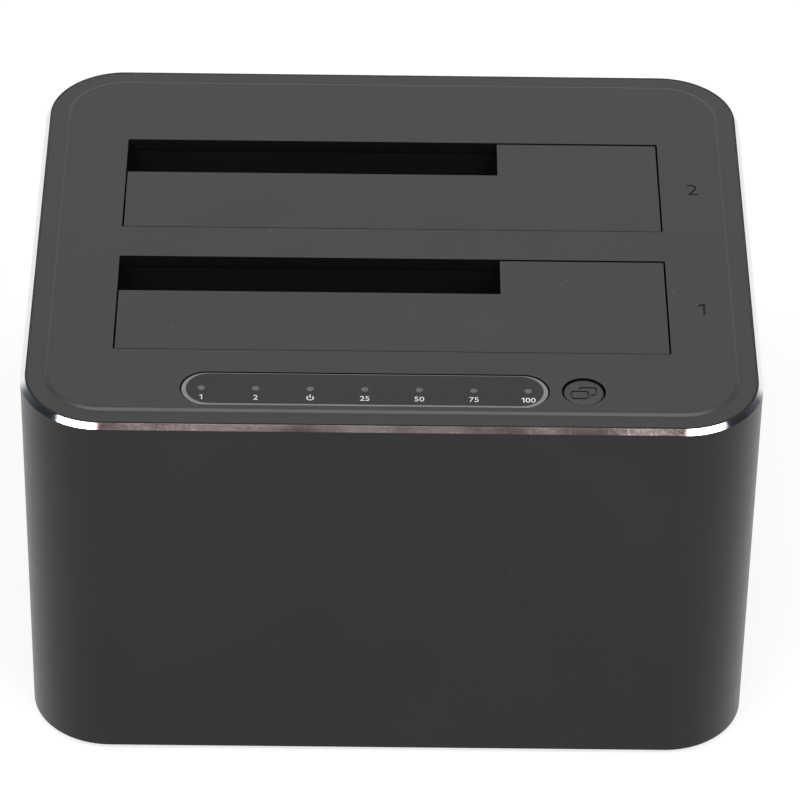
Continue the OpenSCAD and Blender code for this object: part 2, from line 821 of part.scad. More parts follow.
module leg(y) {
    translate([post_x, y, leg_z0]) cylinder(d = post_d, h = leg_top - leg_z0);
    block(post_x - post_reach / 2, y, floor_z0, [post_reach, leg_rib_t, leg_top - floor_z0]);
}

module drive_cradle() color("#222224") difference() {
    union() {
        difference() {
            for (bay = bays) well_outer(bay);
            for (bay = bays) well_inner(bay);
            for (bay = bays) hinge_relief(bay);
        }
        for (bay = bays) guide_ribs(bay);
        for (x = [-rib_x, 0, rib_x])
            translate([x - tie_t / 2, front_bay + bay_d + rear_room + lap, floor_z0])
                cube([tie_t, bay_web - rear_room - fold_room - 2 * lap, relief_z - floor_z0]);
        for (sx = [0, 1]) mirror([sx, 0, 0]) {
            for (y = tab_ys) screw_tab(y);
            for (y = leg_ys) leg(y);
        }
        for (sx = [-1, 1], y = board_screw_ys)
            translate([sx * board_screw_x, y, board_z1]) cylinder(d = panel_boss_d, h = floor_gap + lap);
    }
    for (bay = bays) socket_cut(bay);
    for (sx = [-1, 1], y = tab_ys)
        translate([sx * post_x, y, tab_z0 - lap])
            cylinder(d = screw_d + 2 * screw_hole_gap, h = tab_t + 2 * lap);
    for (sx = [-1, 1], y = leg_ys)
        translate([sx * post_x, y, leg_z0 - lap])
            cylinder(d = screw_d + 2 * thread_gap, h = base_screw_l + lap);
    for (sx = [-1, 1], y = board_screw_ys)
        translate([sx * board_screw_x, y, board_z1 - lap])
            cylinder(d = screw_d + 2 * thread_gap, h = floor_gap + floor_t - blind_skin + lap);
}

module panel_screws() color("#aeb1b5") for (sx = [-1, 1], y = tab_ys)
    screw(sx * post_x, y, tab_z0, tab_t + panel_boss_h - screw_short);

// Main board and what it carries
module main_board() color("#1f5a3a") difference() {
    translate([-board_w / 2, board_front_y, board_z0])
        cube([board_w, board_rear_y - board_front_y, board_t]);
    for (sx = [-1, 1], y = board_screw_ys)
        translate([sx * board_screw_x, y, board_z0 - lap])
            cylinder(d = screw_d + 2 * screw_hole_gap, h = board_t + 2 * lap);
}

module board_screws() color("#aeb1b5") for (sx = [-1, 1], y = board_screw_ys)
    screw(sx * board_screw_x, y, board_z0, board_t + floor_gap + floor_t - 2 * blind_skin);

// Drive socket: keyed slots for the power and signal tongues, and a horn at each end
module keyed_slot(x, l, key_side) {
    z = sata_z1 - slot_depth;
    block(x, 0, z, [l, slot_w, slot_depth + lap]);
    block(x + key_side * (l - key_l) / 2, slot_w / 2, z, [key_l, 2 * key_w, slot_depth + lap]);
}

module sata_socket(bay) translate([sata_mid_x(), sata_mid_y(bay), 0]) difference() {
    union() {
        block(0, 0, board_z1, [sata_l, sata_w, floor_gap + floor_t]);
        block(0, 0, board_z1, [sata_l - 2 * socket_end_step, sata_w - 2 * socket_side_step, sata_h]);
        for (sx = [-1, 1]) {
            horn_x = sx * (sata_l / 2 - horn_inset);
            horn_d = sata_w - 2 * horn_side_step;
            block(horn_x, 0, board_z1, [horn_w, horn_d, sata_h + horn_h / 2]);
            translate([horn_x, 0, sata_z1 + horn_h / 2]) rotate(90) along_x(horn_d) polygon([
                [-horn_w / 2, 0], [horn_w / 2, 0], [horn_w / 4, horn_h / 2], [-horn_w / 4, horn_h / 2]
            ]);
        }
    }
    keyed_slot(power_slot_x, power_slot_l, 1);
    keyed_slot(signal_slot_x, signal_slot_l, -1);
}

module contact_row(x, pins) {
    for (i = [0:pins - 1])
        block(x + (i - (pins - 1) / 2) * contact_pitch, -slot_w / 2 + contact_inset,
            sata_z1 - slot_depth, [contact_size.x, contact_size.y, slot_depth - contact_drop]);
}

module sata_contacts(bay) translate([sata_mid_x(), sata_mid_y(bay), 0]) {
    contact_row(power_slot_x, power_pins);
    contact_row(signal_slot_x, signal_pins);
}

module front_sata_socket() color("#1b1b1d") sata_socket(front_bay);
module rear_sata_socket() color("#1b1b1d") sata_socket(rear_bay);
module front_sata_contacts() color("#d9b45a") sata_contacts(front_bay);
module rear_sata_contacts() color("#d9b45a") sata_contacts(rear_bay);

// Bridge controller with its leads, and the two voltage regulators
module bridge_chip() color("#1a1a1c") translate([chip_x, bays_y, board_z1]) {
    block(0, 0, chip_stand, [chip_w, chip_w, chip_h]);
    for (turn = [0:3], i = [0:chip_leads - 1]) rotate(90 * turn)
        block((i - (chip_leads - 1) / 2) * lead_pitch, chip_w / 2 + lead_out, 0, lead_size);
}

module regulators() color("#202022") for (sx = [-1, 1])
    translate([sx * (board_w / 2 - regulator_inset), front_row_y, board_z1]) {
        block(0, 0, 0, regulator_size);
        block(0, regulator_tab_y, 0, regulator_tab);
    }

// Electrolytic capacitors beside the regulators and beside the chokes
module capacitor() {
    r = capacitor_d / 2;
    groove_z = 4 * capacitor_rim;
    rotate_extrude() polygon([
        [0, 0], [r, 0], [r, groove_z - capacitor_rim], [r - capacitor_groove, groove_z],
        [r, groove_z + capacitor_rim], [r, capacitor_h - capacitor_rim],
        [r - capacitor_rim, capacitor_h], [0, capacitor_h]
    ]);
}

module capacitors() color("#33405c") for (sx = [-1, 1]) {
    translate([sx * (board_w / 2 - capacitor_inset), front_row_y, board_z1]) capacitor();
    translate([sx * (choke_x + capacitor_space), choke_y, board_z1]) capacitor();
}

module inductors() color("#4a4a4c") for (sx = [-1, 1])
    translate([sx * choke_x, choke_y, board_z1]) difference() {
        block(0, 0, 0, [choke_w, choke_w, choke_h]);
        translate([0, 0, choke_h - choke_dish]) cylinder(d = choke_dish_d, h = choke_dish + lap);
    }

// USB socket: a folded metal shell round a moulded insert with its tongues
module usb_shell() color("#c9ccd0") difference() {
    block(usb_x, port_y - usb_d / 2, board_z1, [usb_w, usb_d, usb_h]);
    block(usb_x, port_y - usb_d / 2 + shell_t, board_z1 + shell_t,
        [usb_w - 2 * shell_t, usb_d, usb_h - 2 * shell_t]);
}

module usb_mouth() {
    w = mouth_w / 2;
    top_w = mouth_top_w / 2;
    polygon([
        [-w, 0], [w, 0], [w, mouth_h - mouth_cut], [top_w, mouth_h], [top_w, mouth_h + mouth_top_h],
        [-top_w, mouth_h + mouth_top_h], [-top_w, mouth_h], [-w, mouth_h - mouth_cut]
    ]);
}

module usb_tongue(z, size) {
    l = mouth_depth - tongue_back + lap;
    block(usb_x, port_y - mouth_depth - lap + l / 2, mouth_z + z, [size.x, l, size.y]);
}

module usb_insert() color("#2b4d8c") {
    margin = shell_t + hold_gap;
    l = usb_d - margin - insert_back;
    difference() {
        block(usb_x, port_y - insert_back - l / 2, board_z1 + margin,
            [usb_w - 2 * margin, l, usb_h - 2 * margin]);
        translate([usb_x, port_y + lap, mouth_z])
            rotate([90, 0, 0]) linear_extrude(mouth_depth + lap) usb_mouth();
    }
    usb_tongue(tongue_z, tongue_size);
    usb_tongue(top_tongue_z, top_tongue_size);
}

// Power inlet: a moulded block with a round mouth and a centre pin
module dc_jack() color("#1b1b1d") difference() {
    l = dc_d - dc_face_t;
    union() {
        block(dc_x, port_y - dc_face_t - l / 2, board_z1, [dc_w, l, dc_h]);
        translate([dc_x, port_y - dc_d / 2, dc_z]) bar_y(dc_w - 2 * dc_neck_gap, dc_d / 2);
    }
    translate([dc_x, port_y - dc_bore_l, dc_z]) bar_y(dc_bore_d, dc_bore_l + lap);
    translate([dc_x, port_y - dc_bore_l - dc_pin_root, dc_z])
        bar_y(dc_pin_d + 2 * thread_gap, dc_pin_root + lap);
}

module dc_pin() color("#c9ccd0") translate([dc_x, port_y - dc_bore_l - dc_pin_root, dc_z]) {
    l = dc_bore_l + dc_pin_root - dc_pin_sink;
    bar_y(dc_pin_d, l);
    translate([0, l, 0]) sphere(d = dc_pin_d);
}

// Push-on, push-off power switch on the board and its round button in the sleeve
module power_switch() color("#2a2a2c") difference() {
    block(power_x, switch_y - switch_l / 2, board_z1, [switch_w, switch_l, switch_h]);
    block(power_x, switch_y - stem_l / 2, power_z - stem_w / 2 - button_gap,
        [stem_w + 2 * button_gap, stem_l + 2 * lap, stem_w + 2 * button_gap]);
}

module power_button() color("#8f9295") translate([power_x, power_cap_y, power_z]) {
    bar_y(power_d, power_cap_l - power_edge);
    translate([0, power_cap_l - power_edge, 0]) rotate([-90, 0, 0])
        cylinder(d1 = power_d, d2 = power_d - 2 * power_edge, h = power_edge);
    block(0, -stem_l / 2 + lap / 2, -stem_w / 2, [stem_w, stem_l + lap, stem_w]);
}

// Base plate with screw bosses and recesses for the feet
module at_feet() {
    for (sx = [-1, 1], sy = [-1, 1])
        translate([sx * (body_w / 2 - foot_inset), sy * (body_d / 2 - foot_inset), 0]) children();
}

module base_plate() color("#2a2a2c") difference() {
    union() {
        translate([0, 0, base_z0]) linear_extrude(base_t) outline(panel_inset);
        for (sx = [-1, 1], y = leg_ys)
            translate([sx * post_x, y, base_z1 - lap]) cylinder(d = boss_d, h = boss_h + lap);
    }
    for (sx = [-1, 1], y = leg_ys) translate([sx * post_x, y, 0]) {
        cylinder(d = head_d + 2 * counterbore_gap, h = counterbore_z);
        cylinder(d = screw_d + 2 * screw_hole_gap, h = leg_z0 + lap);
    }
    at_feet() translate([0, 0, base_z0 - lap])
        cylinder(d = foot_d + 2 * seat_gap, h = foot_seat + lap);
}

module base_screws() color("#aeb1b5") for (sx = [-1, 1], y = leg_ys)
    screw(sx * post_x, y, counterbore_z, base_screw_l);

module feet() color("#18181a") at_feet() rotate_extrude() polygon([
    [0, 0], [foot_d / 2 - foot_edge, 0], [foot_d / 2, foot_edge], [foot_d / 2, base_z0 + foot_seat],
    [0, base_z0 + foot_seat]
]);

sleeve();
top_panel();
front_flap();
rear_flap();
front_hinge_pin();
rear_hinge_pin();
front_flap_spring();
rear_flap_spring();
indicator_window();
light_guide();
status_leds();
control_board();
control_screws();
clone_button();
button_switch();
button_plunger();
ribbon_cable();
ribbon_connectors();
drive_cradle();
panel_screws();
main_board();
board_screws();
front_sata_socket();
rear_sata_socket();
front_sata_contacts();
rear_sata_contacts();
bridge_chip();
regulators();
capacitors();
inductors();
usb_shell();
usb_insert();
dc_jack();
dc_pin();
power_switch();
power_button();
base_plate();
base_screws();
feet();
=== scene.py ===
"""Dresses the two-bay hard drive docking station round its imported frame.

Laid out as an add-on: sizes and colours are properties, each piece or group of like pieces has an
operator of its own, and main() runs them in order. Metres throughout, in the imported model's frame.
"""

import json
import math

import bmesh
import bpy
from bpy.props import FloatProperty, FloatVectorProperty, PointerProperty
from bpy.types import Operator, Panel, PropertyGroup
from mathutils import Matrix, Vector


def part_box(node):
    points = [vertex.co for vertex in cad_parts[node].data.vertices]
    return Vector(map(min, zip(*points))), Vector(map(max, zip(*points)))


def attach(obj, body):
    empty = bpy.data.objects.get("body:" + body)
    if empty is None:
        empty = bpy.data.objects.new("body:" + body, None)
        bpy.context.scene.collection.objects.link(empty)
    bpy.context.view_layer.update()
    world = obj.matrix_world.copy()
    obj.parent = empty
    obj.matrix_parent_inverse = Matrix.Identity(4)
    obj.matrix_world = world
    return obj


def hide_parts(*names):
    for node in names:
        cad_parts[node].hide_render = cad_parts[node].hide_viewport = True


bl_info = {
    "name": "Docking station",
    "version": (1, 0, 0),
    "blender": (4, 5, 0),
    "location": "View3D > Sidebar > Dock",
    "description": "Models and finishes a two-bay hard drive docking station round its frame",
    "category": "Object",
}

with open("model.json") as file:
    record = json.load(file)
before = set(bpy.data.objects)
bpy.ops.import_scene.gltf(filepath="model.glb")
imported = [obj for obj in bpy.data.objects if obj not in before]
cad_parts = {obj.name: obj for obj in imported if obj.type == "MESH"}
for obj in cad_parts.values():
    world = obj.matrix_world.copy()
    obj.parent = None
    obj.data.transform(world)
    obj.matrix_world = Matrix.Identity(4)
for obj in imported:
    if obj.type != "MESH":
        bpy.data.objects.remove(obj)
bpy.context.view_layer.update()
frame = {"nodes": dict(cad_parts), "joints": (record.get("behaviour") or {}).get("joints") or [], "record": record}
SLOT_OF = {row["node"]: row["material_slot"] for row in frame["record"]["subparts"]}
HINGES = {j["child"]: Vector(j["pos_m"]) for j in frame["joints"] if j["type"] == "hinge"}
SLEEVE_LOW, SLEEVE_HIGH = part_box("sleeve")
FIELD_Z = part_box("top_panel")[1].z

# Overshoot of cuts, distance at which points merge, steps in a quarter and a whole turn, and the angle
# up to which faces are shaded as one
LAP = 0.0005
WELD = 1e-7
CORNER_STEPS = 24
ROUND_STEPS = 64
SMOOTH_ANGLE = math.radians(32)

# Hinge pins: the gap round them
PIN_PLAY = 0.00002

# Base screws: height of head and tip, then reach, half width and depth of the cross recess
HEAD_HEIGHT, TIP_HEIGHT = 0.0018, 0.0006
CROSS_REACH, CROSS_LINE, CROSS_DEPTH = 0.0016, 0.00035, 0.0009

# Feet: radius, rounding, and depth of the hollow underneath
FOOT_RADIUS, FOOT_EDGE, FOOT_HOLLOW = 0.005, 0.0004, 0.00015

# Clone button: rounding, radius of its neck, thickness of its flange, the flange's gap to the panel, and
# the offset of the sign's sheets as a share of their size
BUTTON_EDGE, BUTTON_NECK, FLANGE, FLANGE_PLAY = 0.0003, 0.002, 0.001, 0.0001
SHEET_SHIFT = 0.22

# Power button: start of the cap on its stem, rounding and dish of the cap, half width of the stem
CAP_ROOT, CAP_EDGE, CAP_DISH, STEM_HALF = 0.005, 0.0005, 0.0004, 0.0015

# USB socket: rounding of its folded shell, and distance of the insert from the mouth
SHELL_EDGE, INSERT_DEPTH = 0.00015, 0.0006

# Gilt strips in the USB socket: rows (count, pitch, height over the insert's foot, width), depth of root
# and nose from the mouth, the parts under and over the tongue's face, and rounding
STRIP_ROWS = ((4, 0.0012, 0.00685, 0.0006), (5, 0.0008, 0.00925, 0.0004))
STRIP_ROOT, STRIP_NOSE = 0.0085, 0.0021
STRIP_SUNK, STRIP_PROUD, STRIP_EDGE = 0.00012, 0.00006, 0.00008

# Lamps on the board: half width; their holes in the window: radius
LAMP_HALF, LAMP_RADIUS = 0.0016, 0.000725

# Print under the lamps from left to right, where None is the power sign
LAMP_LABELS = ("1", "2", None, "25", "50", "75", "100")

# Power sign: line and radius as shares of the labels' height, half the gap in lines, the bar in radii
SIGN_LINE, SIGN_RADIUS, SIGN_GAP, SIGN_BAR = 0.15, 0.52, 1.7, 1.35

# Lettering: gap between figures as a share of their height; bay numbers: offset from the mouths' middles
FIGURE_GAP = 0.16
MARK_SHIFT = 0.0005

# Where the rim's painted reflections change: away from the middle for the painted glints and the dark reflections
# at the corners, and along Y for the white reflections on the sides
PAINTED_GLINT_FROM, CORNER_REFLECTION_FROM, SIDE_REFLECTION_FROM = (0.0535, 0.0545), (0.0604, 0.0616), (-0.047, -0.042)

# Painted shade on the sleeve: it darkens from this height down to its foot, by this share
FOOT_SHADE_FROM, FOOT_SHADE_SHARE = 0.08, 0.25

# Lamps of the stage: name, power in DockStage, place, size
LAMPS = (
    ("overhead_lamp", "overhead", (0.0, -0.22, 1.05), (1.0, 0.4)),
    ("rear_lamp", "rear", (0.0, 0.9, 0.66), (0.9, 0.3)),
    ("front_softbox", "softbox", (-0.57, -0.61, 0.94), (0.9, 0.27)),
    ("front_softbox", "softbox", (0.57, -0.61, 0.94), (0.9, 0.27)),
)


# Properties

def length(name, text, default):
    """A size in metres that a user may change."""
    return FloatProperty(name=name, description=text, default=default, min=0.0, precision=5,
                         subtype="DISTANCE", unit="LENGTH")


def linear(code):
    """A display colour such as "#4f4f50" as the linear colour that sockets take."""
    parts = [int(code[i:i + 2], 16) / 255 for i in (1, 3, 5)]
    return tuple(c / 12.92 if c <= 0.04045 else ((c + 0.055) / 1.055) ** 2.4 for c in parts) + (1.0,)


def tint(name, text, code):
    """A colour that a user may change."""
    return FloatVectorProperty(name=name, description=text, default=linear(code), size=4,
                               min=0.0, max=1.0, subtype="COLOR")


def share(name, text, default):
    """A level from 0 to 1 that a user may change."""
    return FloatProperty(name=name, description=text, default=default, min=0.0, max=1.0, subtype="FACTOR")


def angle(name, text, degrees):
    """An angle that a user may change."""
    return FloatProperty(name=name, description=text, default=math.radians(degrees), subtype="ANGLE")


def watts(name, text, default):
    """A lamp's power that a user may change."""
    return FloatProperty(name=name, description=text, default=default, min=0.0, unit="POWER")


class DockSizes(PropertyGroup):
    """Sizes that the frame's boxes don't give"""

    corner_radius: length("Corner radius", "Outer corner radius of the sleeve", 0.0154)
    wall: length("Sleeve wall", "Wall of the sleeve", 0.0024)
    chamfer: length("Rim chamfer", "Bright chamfer along the sleeve's top rim", 0.00088)
    land: length("Rim land", "Flat land between the chamfer and the panel's seat", 0.00032)
    base_seat: length("Base seat", "Height of the seat over the base plate from the sleeve's foot", 0.0022)
    panel_thickness: length("Panel thickness", "Thickness of the top panel at its edge", 0.002)
    panel_inset: length("Panel inset", "Distance of the panel's edge from the sleeve's face", 0.0013)
    field_inset: length("Field inset", "Distance of the raised field's foot from the sleeve's face", 0.0044)
    field_slope: length("Field slope", "Width of the slope round the raised field", 0.0006)
    slope_round: length("Slope rounding", "Rounding at the foot and crest of the slope", 0.00022)
    side_strip: length("Side strip", "Distance of a mouth's ends from the sleeve's side face", 0.0167)
    front_strip: length("Front strip", "Distance of the front mouth from the sleeve's front face", 0.02235)
    rear_strip: length("Rear strip", "Distance of the rear mouth from the sleeve's rear face", 0.02445)
    bay_web: length("Web", "Width of the panel between the mouths", 0.0093)
    mouth_corner: length("Mouth corner", "Corner radius of a mouth", 0.0003)
    ear_gap: length("Ear gap", "Distance of a hinge ear from the mouth's end", 0.0005)
    ear_thickness: length("Ear thickness", "Thickness of a hinge ear", 0.003)
    ear_radius: length("Ear radius", "Radius of a hinge ear's foot", 0.0022)
    boss_radius: length("Boss radius", "Radius of the screw bosses under the panel", 0.003)
    head_radius: length("Screw head radius", "Radius of the screws' heads", 0.0028)
    screw_radius: length("Screw radius", "Radius of the screws' shanks", 0.00145)
    seat_gap: length("Seat gap", "Gap round the window in its seat", 0.00005)
    window_ledge: length("Window ledge", "Ledge that carries the window", 0.0012)
    window_border: length("Window border", "Clear border along the window's long sides", 0.0003)
    window_crescent: length("Window crescent", "Extra width of the border at the window's ends", 0.0005)
    window_slope: length("Window slope", "Fall of the border to the window's edge", 0.00012)
    window_sink: length("Window sink", "Depth of the window's face under the field", 0.00006)
    window_side_gap: length("Window side gap", "Gap along the window's long sides", 0.00012)
    window_end_gap: length("Window end gap", "Gap at the window's ends", 0.00026)
    button_gap: length("Button gap", "Gap round the buttons", 0.00025)
    button_radius: length("Button radius", "Radius of the clone button", 0.0038)
    button_dish: length("Button dish", "Depth of the clone button's dished face", 0.00012)
    sheet_width: length("Sheet width", "Width of a sheet in the clone button's sign", 0.0034)
    sheet_height: length("Sheet height", "Height of a sheet in the clone button's sign", 0.0024)
    sheet_line: length("Sheet line", "Width and depth of the sign's lines", 0.0003)
    port_room: length("Port room", "Gap round the sockets in the sleeve", 0.0006)
    inlet_room: length("Inlet room", "Distance of the inlet's window from its pin", 0.0042)
    boss_drop: length("Boss drop", "Height of the bosses that hold the cradle", 0.0055)
    soft_edge: length("Soft edge", "Rounding of moulded edges", 0.00012)
    leg_root: length("Spring leg root", "Distance from a hinge to the root of its spring's leg", 0.0021)
    cut_edge: length("Cut edge", "Rounding of machined edges", 0.00005)
    label_height: length("Label height", "Height of the numbers under the lamps", 0.00135)
    label_drop: length("Label drop", "Distance of the numbers from the lamps", 0.0026)
    ink: length("Ink", "Thickness of the printed numbers", 0.00003)
    mark_height: length("Mark height", "Height of the bay numbers", 0.0034)
    mark_depth: length("Mark depth", "Depth of the bay numbers", 0.00015)
    mark_inset: length("Mark inset", "Distance of the bay numbers from the sleeve's face", 0.0104)


class DockFinish(PropertyGroup):
    """Colours of the pieces"""

    sleeve: tint("Sleeve", "Dark anodised aluminium", "#262428")
    # The rim cut's colours paint its reflections: a warm tint with darker stretches in front, a white glint where
    # each front corner begins, cold dark reflections at the corners, and white reflections along the sides and the
    # back
    cut: tint("Rim cut", "Bright cut along the rim", "#f2dedb")
    cut_dark: tint("Rim cut, dark", "Darker stretches of the rim cut", "#84706f")
    cut_cold: tint("Rim cut, corners", "Rim cut at the front corners", "#5c646e")
    cut_clear: tint("Rim cut, sides", "Rim cut along the sides and the back", "#f8f8f9")
    panel: tint("Panel", "Matte coat of the panel and the flaps", "#393839")
    # Black on walls, edges and undersides is painted shade in the mouths, holes and gaps round the flaps and
    # buttons
    black: tint("Black plastic", "Plastic under the coat, at walls and edges", "#0b0b0c")
    button: tint("Button", "Plastic of the clone button", "#424243")
    cradle: tint("Cradle", "Plastic of the drive wells", "#0d0d0e")
    window: tint("Window", "Smoked window", "#302e30")
    # The window border's light grey is a painted highlight along the window's bevel
    window_edge: tint("Window edge", "Clear border of the window", "#7f7f82")
    lamp_tip: tint("Lamp tip", "Unlit light pipes", "#5f5e5f")
    ink: tint("Ink", "Printed numbers", "#dedede")
    rubber: tint("Rubber", "Feet", "#141415")
    power_cap: tint("Power button", "Power button at the back", "#55565a")
    socket: tint("Sockets", "Drive sockets and power inlet", "#121214")
    usb: tint("USB insert", "Insert of the USB socket", "#1d3f86")
    board: tint("Boards", "Solder mask of the boards", "#1b4f33")


class DockStage(PropertyGroup):
    """Camera, floor and light"""

    lens: FloatProperty(name="Lens", description="Focal length on a 36 mm sensor", default=215.96,
                        unit="CAMERA")
    distance: length("Distance", "Camera to target", 0.94044)
    target: FloatVectorProperty(name="Target", description="Point at the middle of the view",
                                default=(0.00196, 0.0, 0.041), subtype="XYZ", unit="LENGTH")
    yaw: angle("Yaw", "Turn of the view about the vertical", 0.585)
    pitch: angle("Pitch", "How far the view looks down", 38.6)
    roll: angle("Roll", "Tilt of the picture", 0.975)
    ambient: share("Ambient", "Level of the all-round light", 0.14)
    ceiling: share("Ceiling", "Level of the upper surround in reflections", 0.2)
    dim_from: share("Dim from", "Height on the unit sphere where the surround starts to dim", 0.08)
    dim_to: share("Dim to", "Height on the unit sphere where the surround is at its dimmest", 0.5)
    overhead: watts("Overhead", "Power of the overhead lamp", 5.7)
    rear: watts("Rear lamp", "Power of the rear lamp", 0.62)
    softbox: watts("Softbox", "Power of each front lamp", 4.5)
    floor: tint("Floor", "Pale floor", "#a0a0a0")
    glow: share("Glow", "Share of white that the floor shows by itself", 0.75)


# Modelling

def fresh():
    """Leaves edit mode and deselects everything before a new piece is begun."""
    if bpy.context.object and bpy.context.object.mode != "OBJECT":
        bpy.ops.object.mode_set(mode="OBJECT")
    bpy.ops.object.select_all(action="DESELECT")


def activate(piece):
    """Makes a piece the only one that operators act on."""
    fresh()
    piece.select_set(True)
    bpy.context.view_layer.objects.active = piece


def settle(name):
    """Names the object just added and puts its place, turn and size into its mesh."""
    piece = bpy.context.object
    piece.name = name
    piece.data.name = name
    bpy.ops.object.transform_apply(location=True, rotation=True, scale=True)
    return piece


def add_block(name, low, high):
    fresh()
    low, high = Vector(low), Vector(high)
    bpy.ops.mesh.primitive_cube_add(size=1, location=(low + high) / 2, scale=high - low)
    return settle(name)


def add_cylinder(name, start, radius, height, axis="Z", sides=ROUND_STEPS):
    """A cylinder that runs from start along an axis."""
    fresh()
    along = {"X": Vector((1, 0, 0)), "Y": Vector((0, 1, 0)), "Z": Vector((0, 0, 1))}[axis]
    turn = along.to_track_quat("Z", "Y").to_euler()
    bpy.ops.mesh.primitive_cylinder_add(vertices=sides, radius=radius, depth=height, rotation=turn,
                                        location=Vector(start) + along * height / 2)
    return settle(name)


def select_whole():
    """In edit mode, selects the whole of the active piece."""
    bpy.ops.object.mode_set(mode="EDIT")
    bpy.ops.mesh.select_all(action="SELECT")


def pick(piece, kind, test):
    """In edit mode, selects the faces or edges for which test is true."""
    if piece.mode != "EDIT":
        activate(piece)
        bpy.ops.object.mode_set(mode="EDIT")
    bpy.ops.mesh.select_mode(type=kind)
    bpy.ops.mesh.select_all(action="DESELECT")
    mesh = bmesh.from_edit_mesh(piece.data)
    chosen = [item for item in (mesh.faces if kind == "FACE" else mesh.edges) if test(item)]
    if not chosen:
        raise RuntimeError(f"{piece.name}: nothing to select")
    for item in chosen:
        item.select_set(True)
    bmesh.update_edit_mesh(piece.data)


def pick_cap(piece, z, up=True):
    """Selects the flat face at height z that looks up, or down."""
    sign = 1 if up else -1
    pick(piece, "FACE", lambda f: f.normal.z * sign > 0.99 and abs(f.calc_center_median().z - z) < LAP / 10)


def step_in(width, rise=0.0):
    """Insets the selected face and lifts it along its normal."""
    bpy.ops.mesh.inset(thickness=width, depth=rise)


def raise_face(height):
    """Extrudes the selected face upwards, or downwards where height is negative."""
    bpy.ops.mesh.extrude_region_move(TRANSFORM_OT_translate={"value": (0, 0, height)})


def round_edges(piece, test, radius, steps):
    pick(piece, "EDGE", test)
    bpy.ops.mesh.bevel(offset=radius, segments=steps, profile=0.5, affect="EDGES")


def is_along(axis):
    """A test for edges that run along X, Y or Z."""
    return lambda e: abs((e.verts[0].co - e.verts[1].co).normalized()["XYZ".index(axis)]) > 0.999


def rounded_block(name, low, high, radius, steps=CORNER_STEPS):
    """A block whose upright edges are rounded."""
    piece = add_block(name, low, high)
    round_edges(piece, is_along("Z"), radius, steps)
    bpy.ops.mesh.select_all(action="SELECT")
    bpy.ops.mesh.remove_doubles(threshold=WELD)
    return piece


def turned(name, centre, profile, axis=(0, 0, 1), steps=ROUND_STEPS):
    """Spins a profile of (radius, height) points, which starts and ends on the axis, about centre."""
    fresh()
    bpy.ops.mesh.primitive_circle_add(vertices=len(profile))
    piece = settle(name)
    bpy.ops.object.mode_set(mode="EDIT")
    mesh = bmesh.from_edit_mesh(piece.data)
    for vert, (radius, height) in zip(mesh.verts, profile):
        vert.co = (radius, 0, height)
    bmesh.update_edit_mesh(piece.data)
    pick(piece, "EDGE", lambda e: all(v.co.x < WELD for v in e.verts))
    bpy.ops.mesh.delete(type="EDGE")
    bpy.ops.mesh.select_all(action="SELECT")
    bpy.ops.mesh.spin(steps=steps, angle=2 * math.pi, center=(0, 0, 0), axis=(0, 0, 1))
    bpy.ops.mesh.select_all(action="SELECT")
    bpy.ops.mesh.remove_doubles(threshold=WELD)
    bpy.ops.mesh.dissolve_degenerate(threshold=WELD)
    bpy.ops.mesh.normals_make_consistent(inside=False)
    fresh()
    activate(piece)
    piece.rotation_euler = Vector(axis).to_track_quat("Z", "Y").to_euler()
    piece.location = centre
    return settle(name)


def combine(piece, others, operation):
    """Cuts other shapes out of a piece, or fuses them with it, one by one, and removes them."""
    for other in others:
        activate(piece)
        modifier = piece.modifiers.new("combine", "BOOLEAN")
        modifier.operation = operation
        modifier.solver = "EXACT"
        modifier.object = other
        bpy.ops.object.modifier_apply(modifier=modifier.name)
        bpy.data.objects.remove(other, do_unlink=True)


def soften(piece, width, steps=2):
    """Rounds the sharp edges of a piece and shades it smooth between them."""
    activate(piece)
    if width > 0:
        modifier = piece.modifiers.new("soften", "BEVEL")
        modifier.width = width
        modifier.segments = steps
        modifier.limit_method = "ANGLE"
        modifier.angle_limit = SMOOTH_ANGLE
        bpy.ops.object.modifier_apply(modifier=modifier.name)
    bpy.ops.object.shade_smooth_by_angle(angle=SMOOTH_ANGLE)
    modifier = piece.modifiers.new("level", "WEIGHTED_NORMAL")
    modifier.keep_sharp = True
    bpy.ops.object.modifier_apply(modifier=modifier.name)


def softened_copy(node, name, width):
    """A copy of a frame node with its triangles merged and its sharp edges rounded."""
    piece = bpy.data.objects.new(name, frame["nodes"][node].data.copy())
    piece.data.name = name
    bpy.context.scene.collection.objects.link(piece)
    activate(piece)
    bpy.ops.mesh.customdata_custom_splitnormals_clear()
    select_whole()
    bpy.ops.mesh.remove_doubles(threshold=1e-6)
    bpy.ops.mesh.dissolve_limited(angle_limit=math.radians(0.3))
    bpy.ops.mesh.mark_sharp(clear=True)
    soften(piece, width)
    return piece


def copy_to(piece, name, offset):
    """A copy of a finished piece, with its own mesh, set off by a distance."""
    activate(piece)
    bpy.ops.object.duplicate()
    bpy.context.object.location = offset
    return settle(name)


def set_out(first, stem, spots, slot, node):
    """Copies a piece from the first spot to the others, and dresses them all for the housing."""
    pieces = [first]
    for i, (x, y) in enumerate(spots[1:], 2):
        pieces.append(copy_to(first, f"{stem}_{i}", (x - spots[0][0], y - spots[0][1], 0)))
    for piece in pieces:
        dress(piece, "housing", slot, node)


def extents(piece):
    """Lowest and highest corners of a piece's own points."""
    points = [v.co for v in piece.data.vertices]
    return (Vector(tuple(min(p[i] for p in points) for i in range(3))),
            Vector(tuple(max(p[i] for p in points) for i in range(3))))


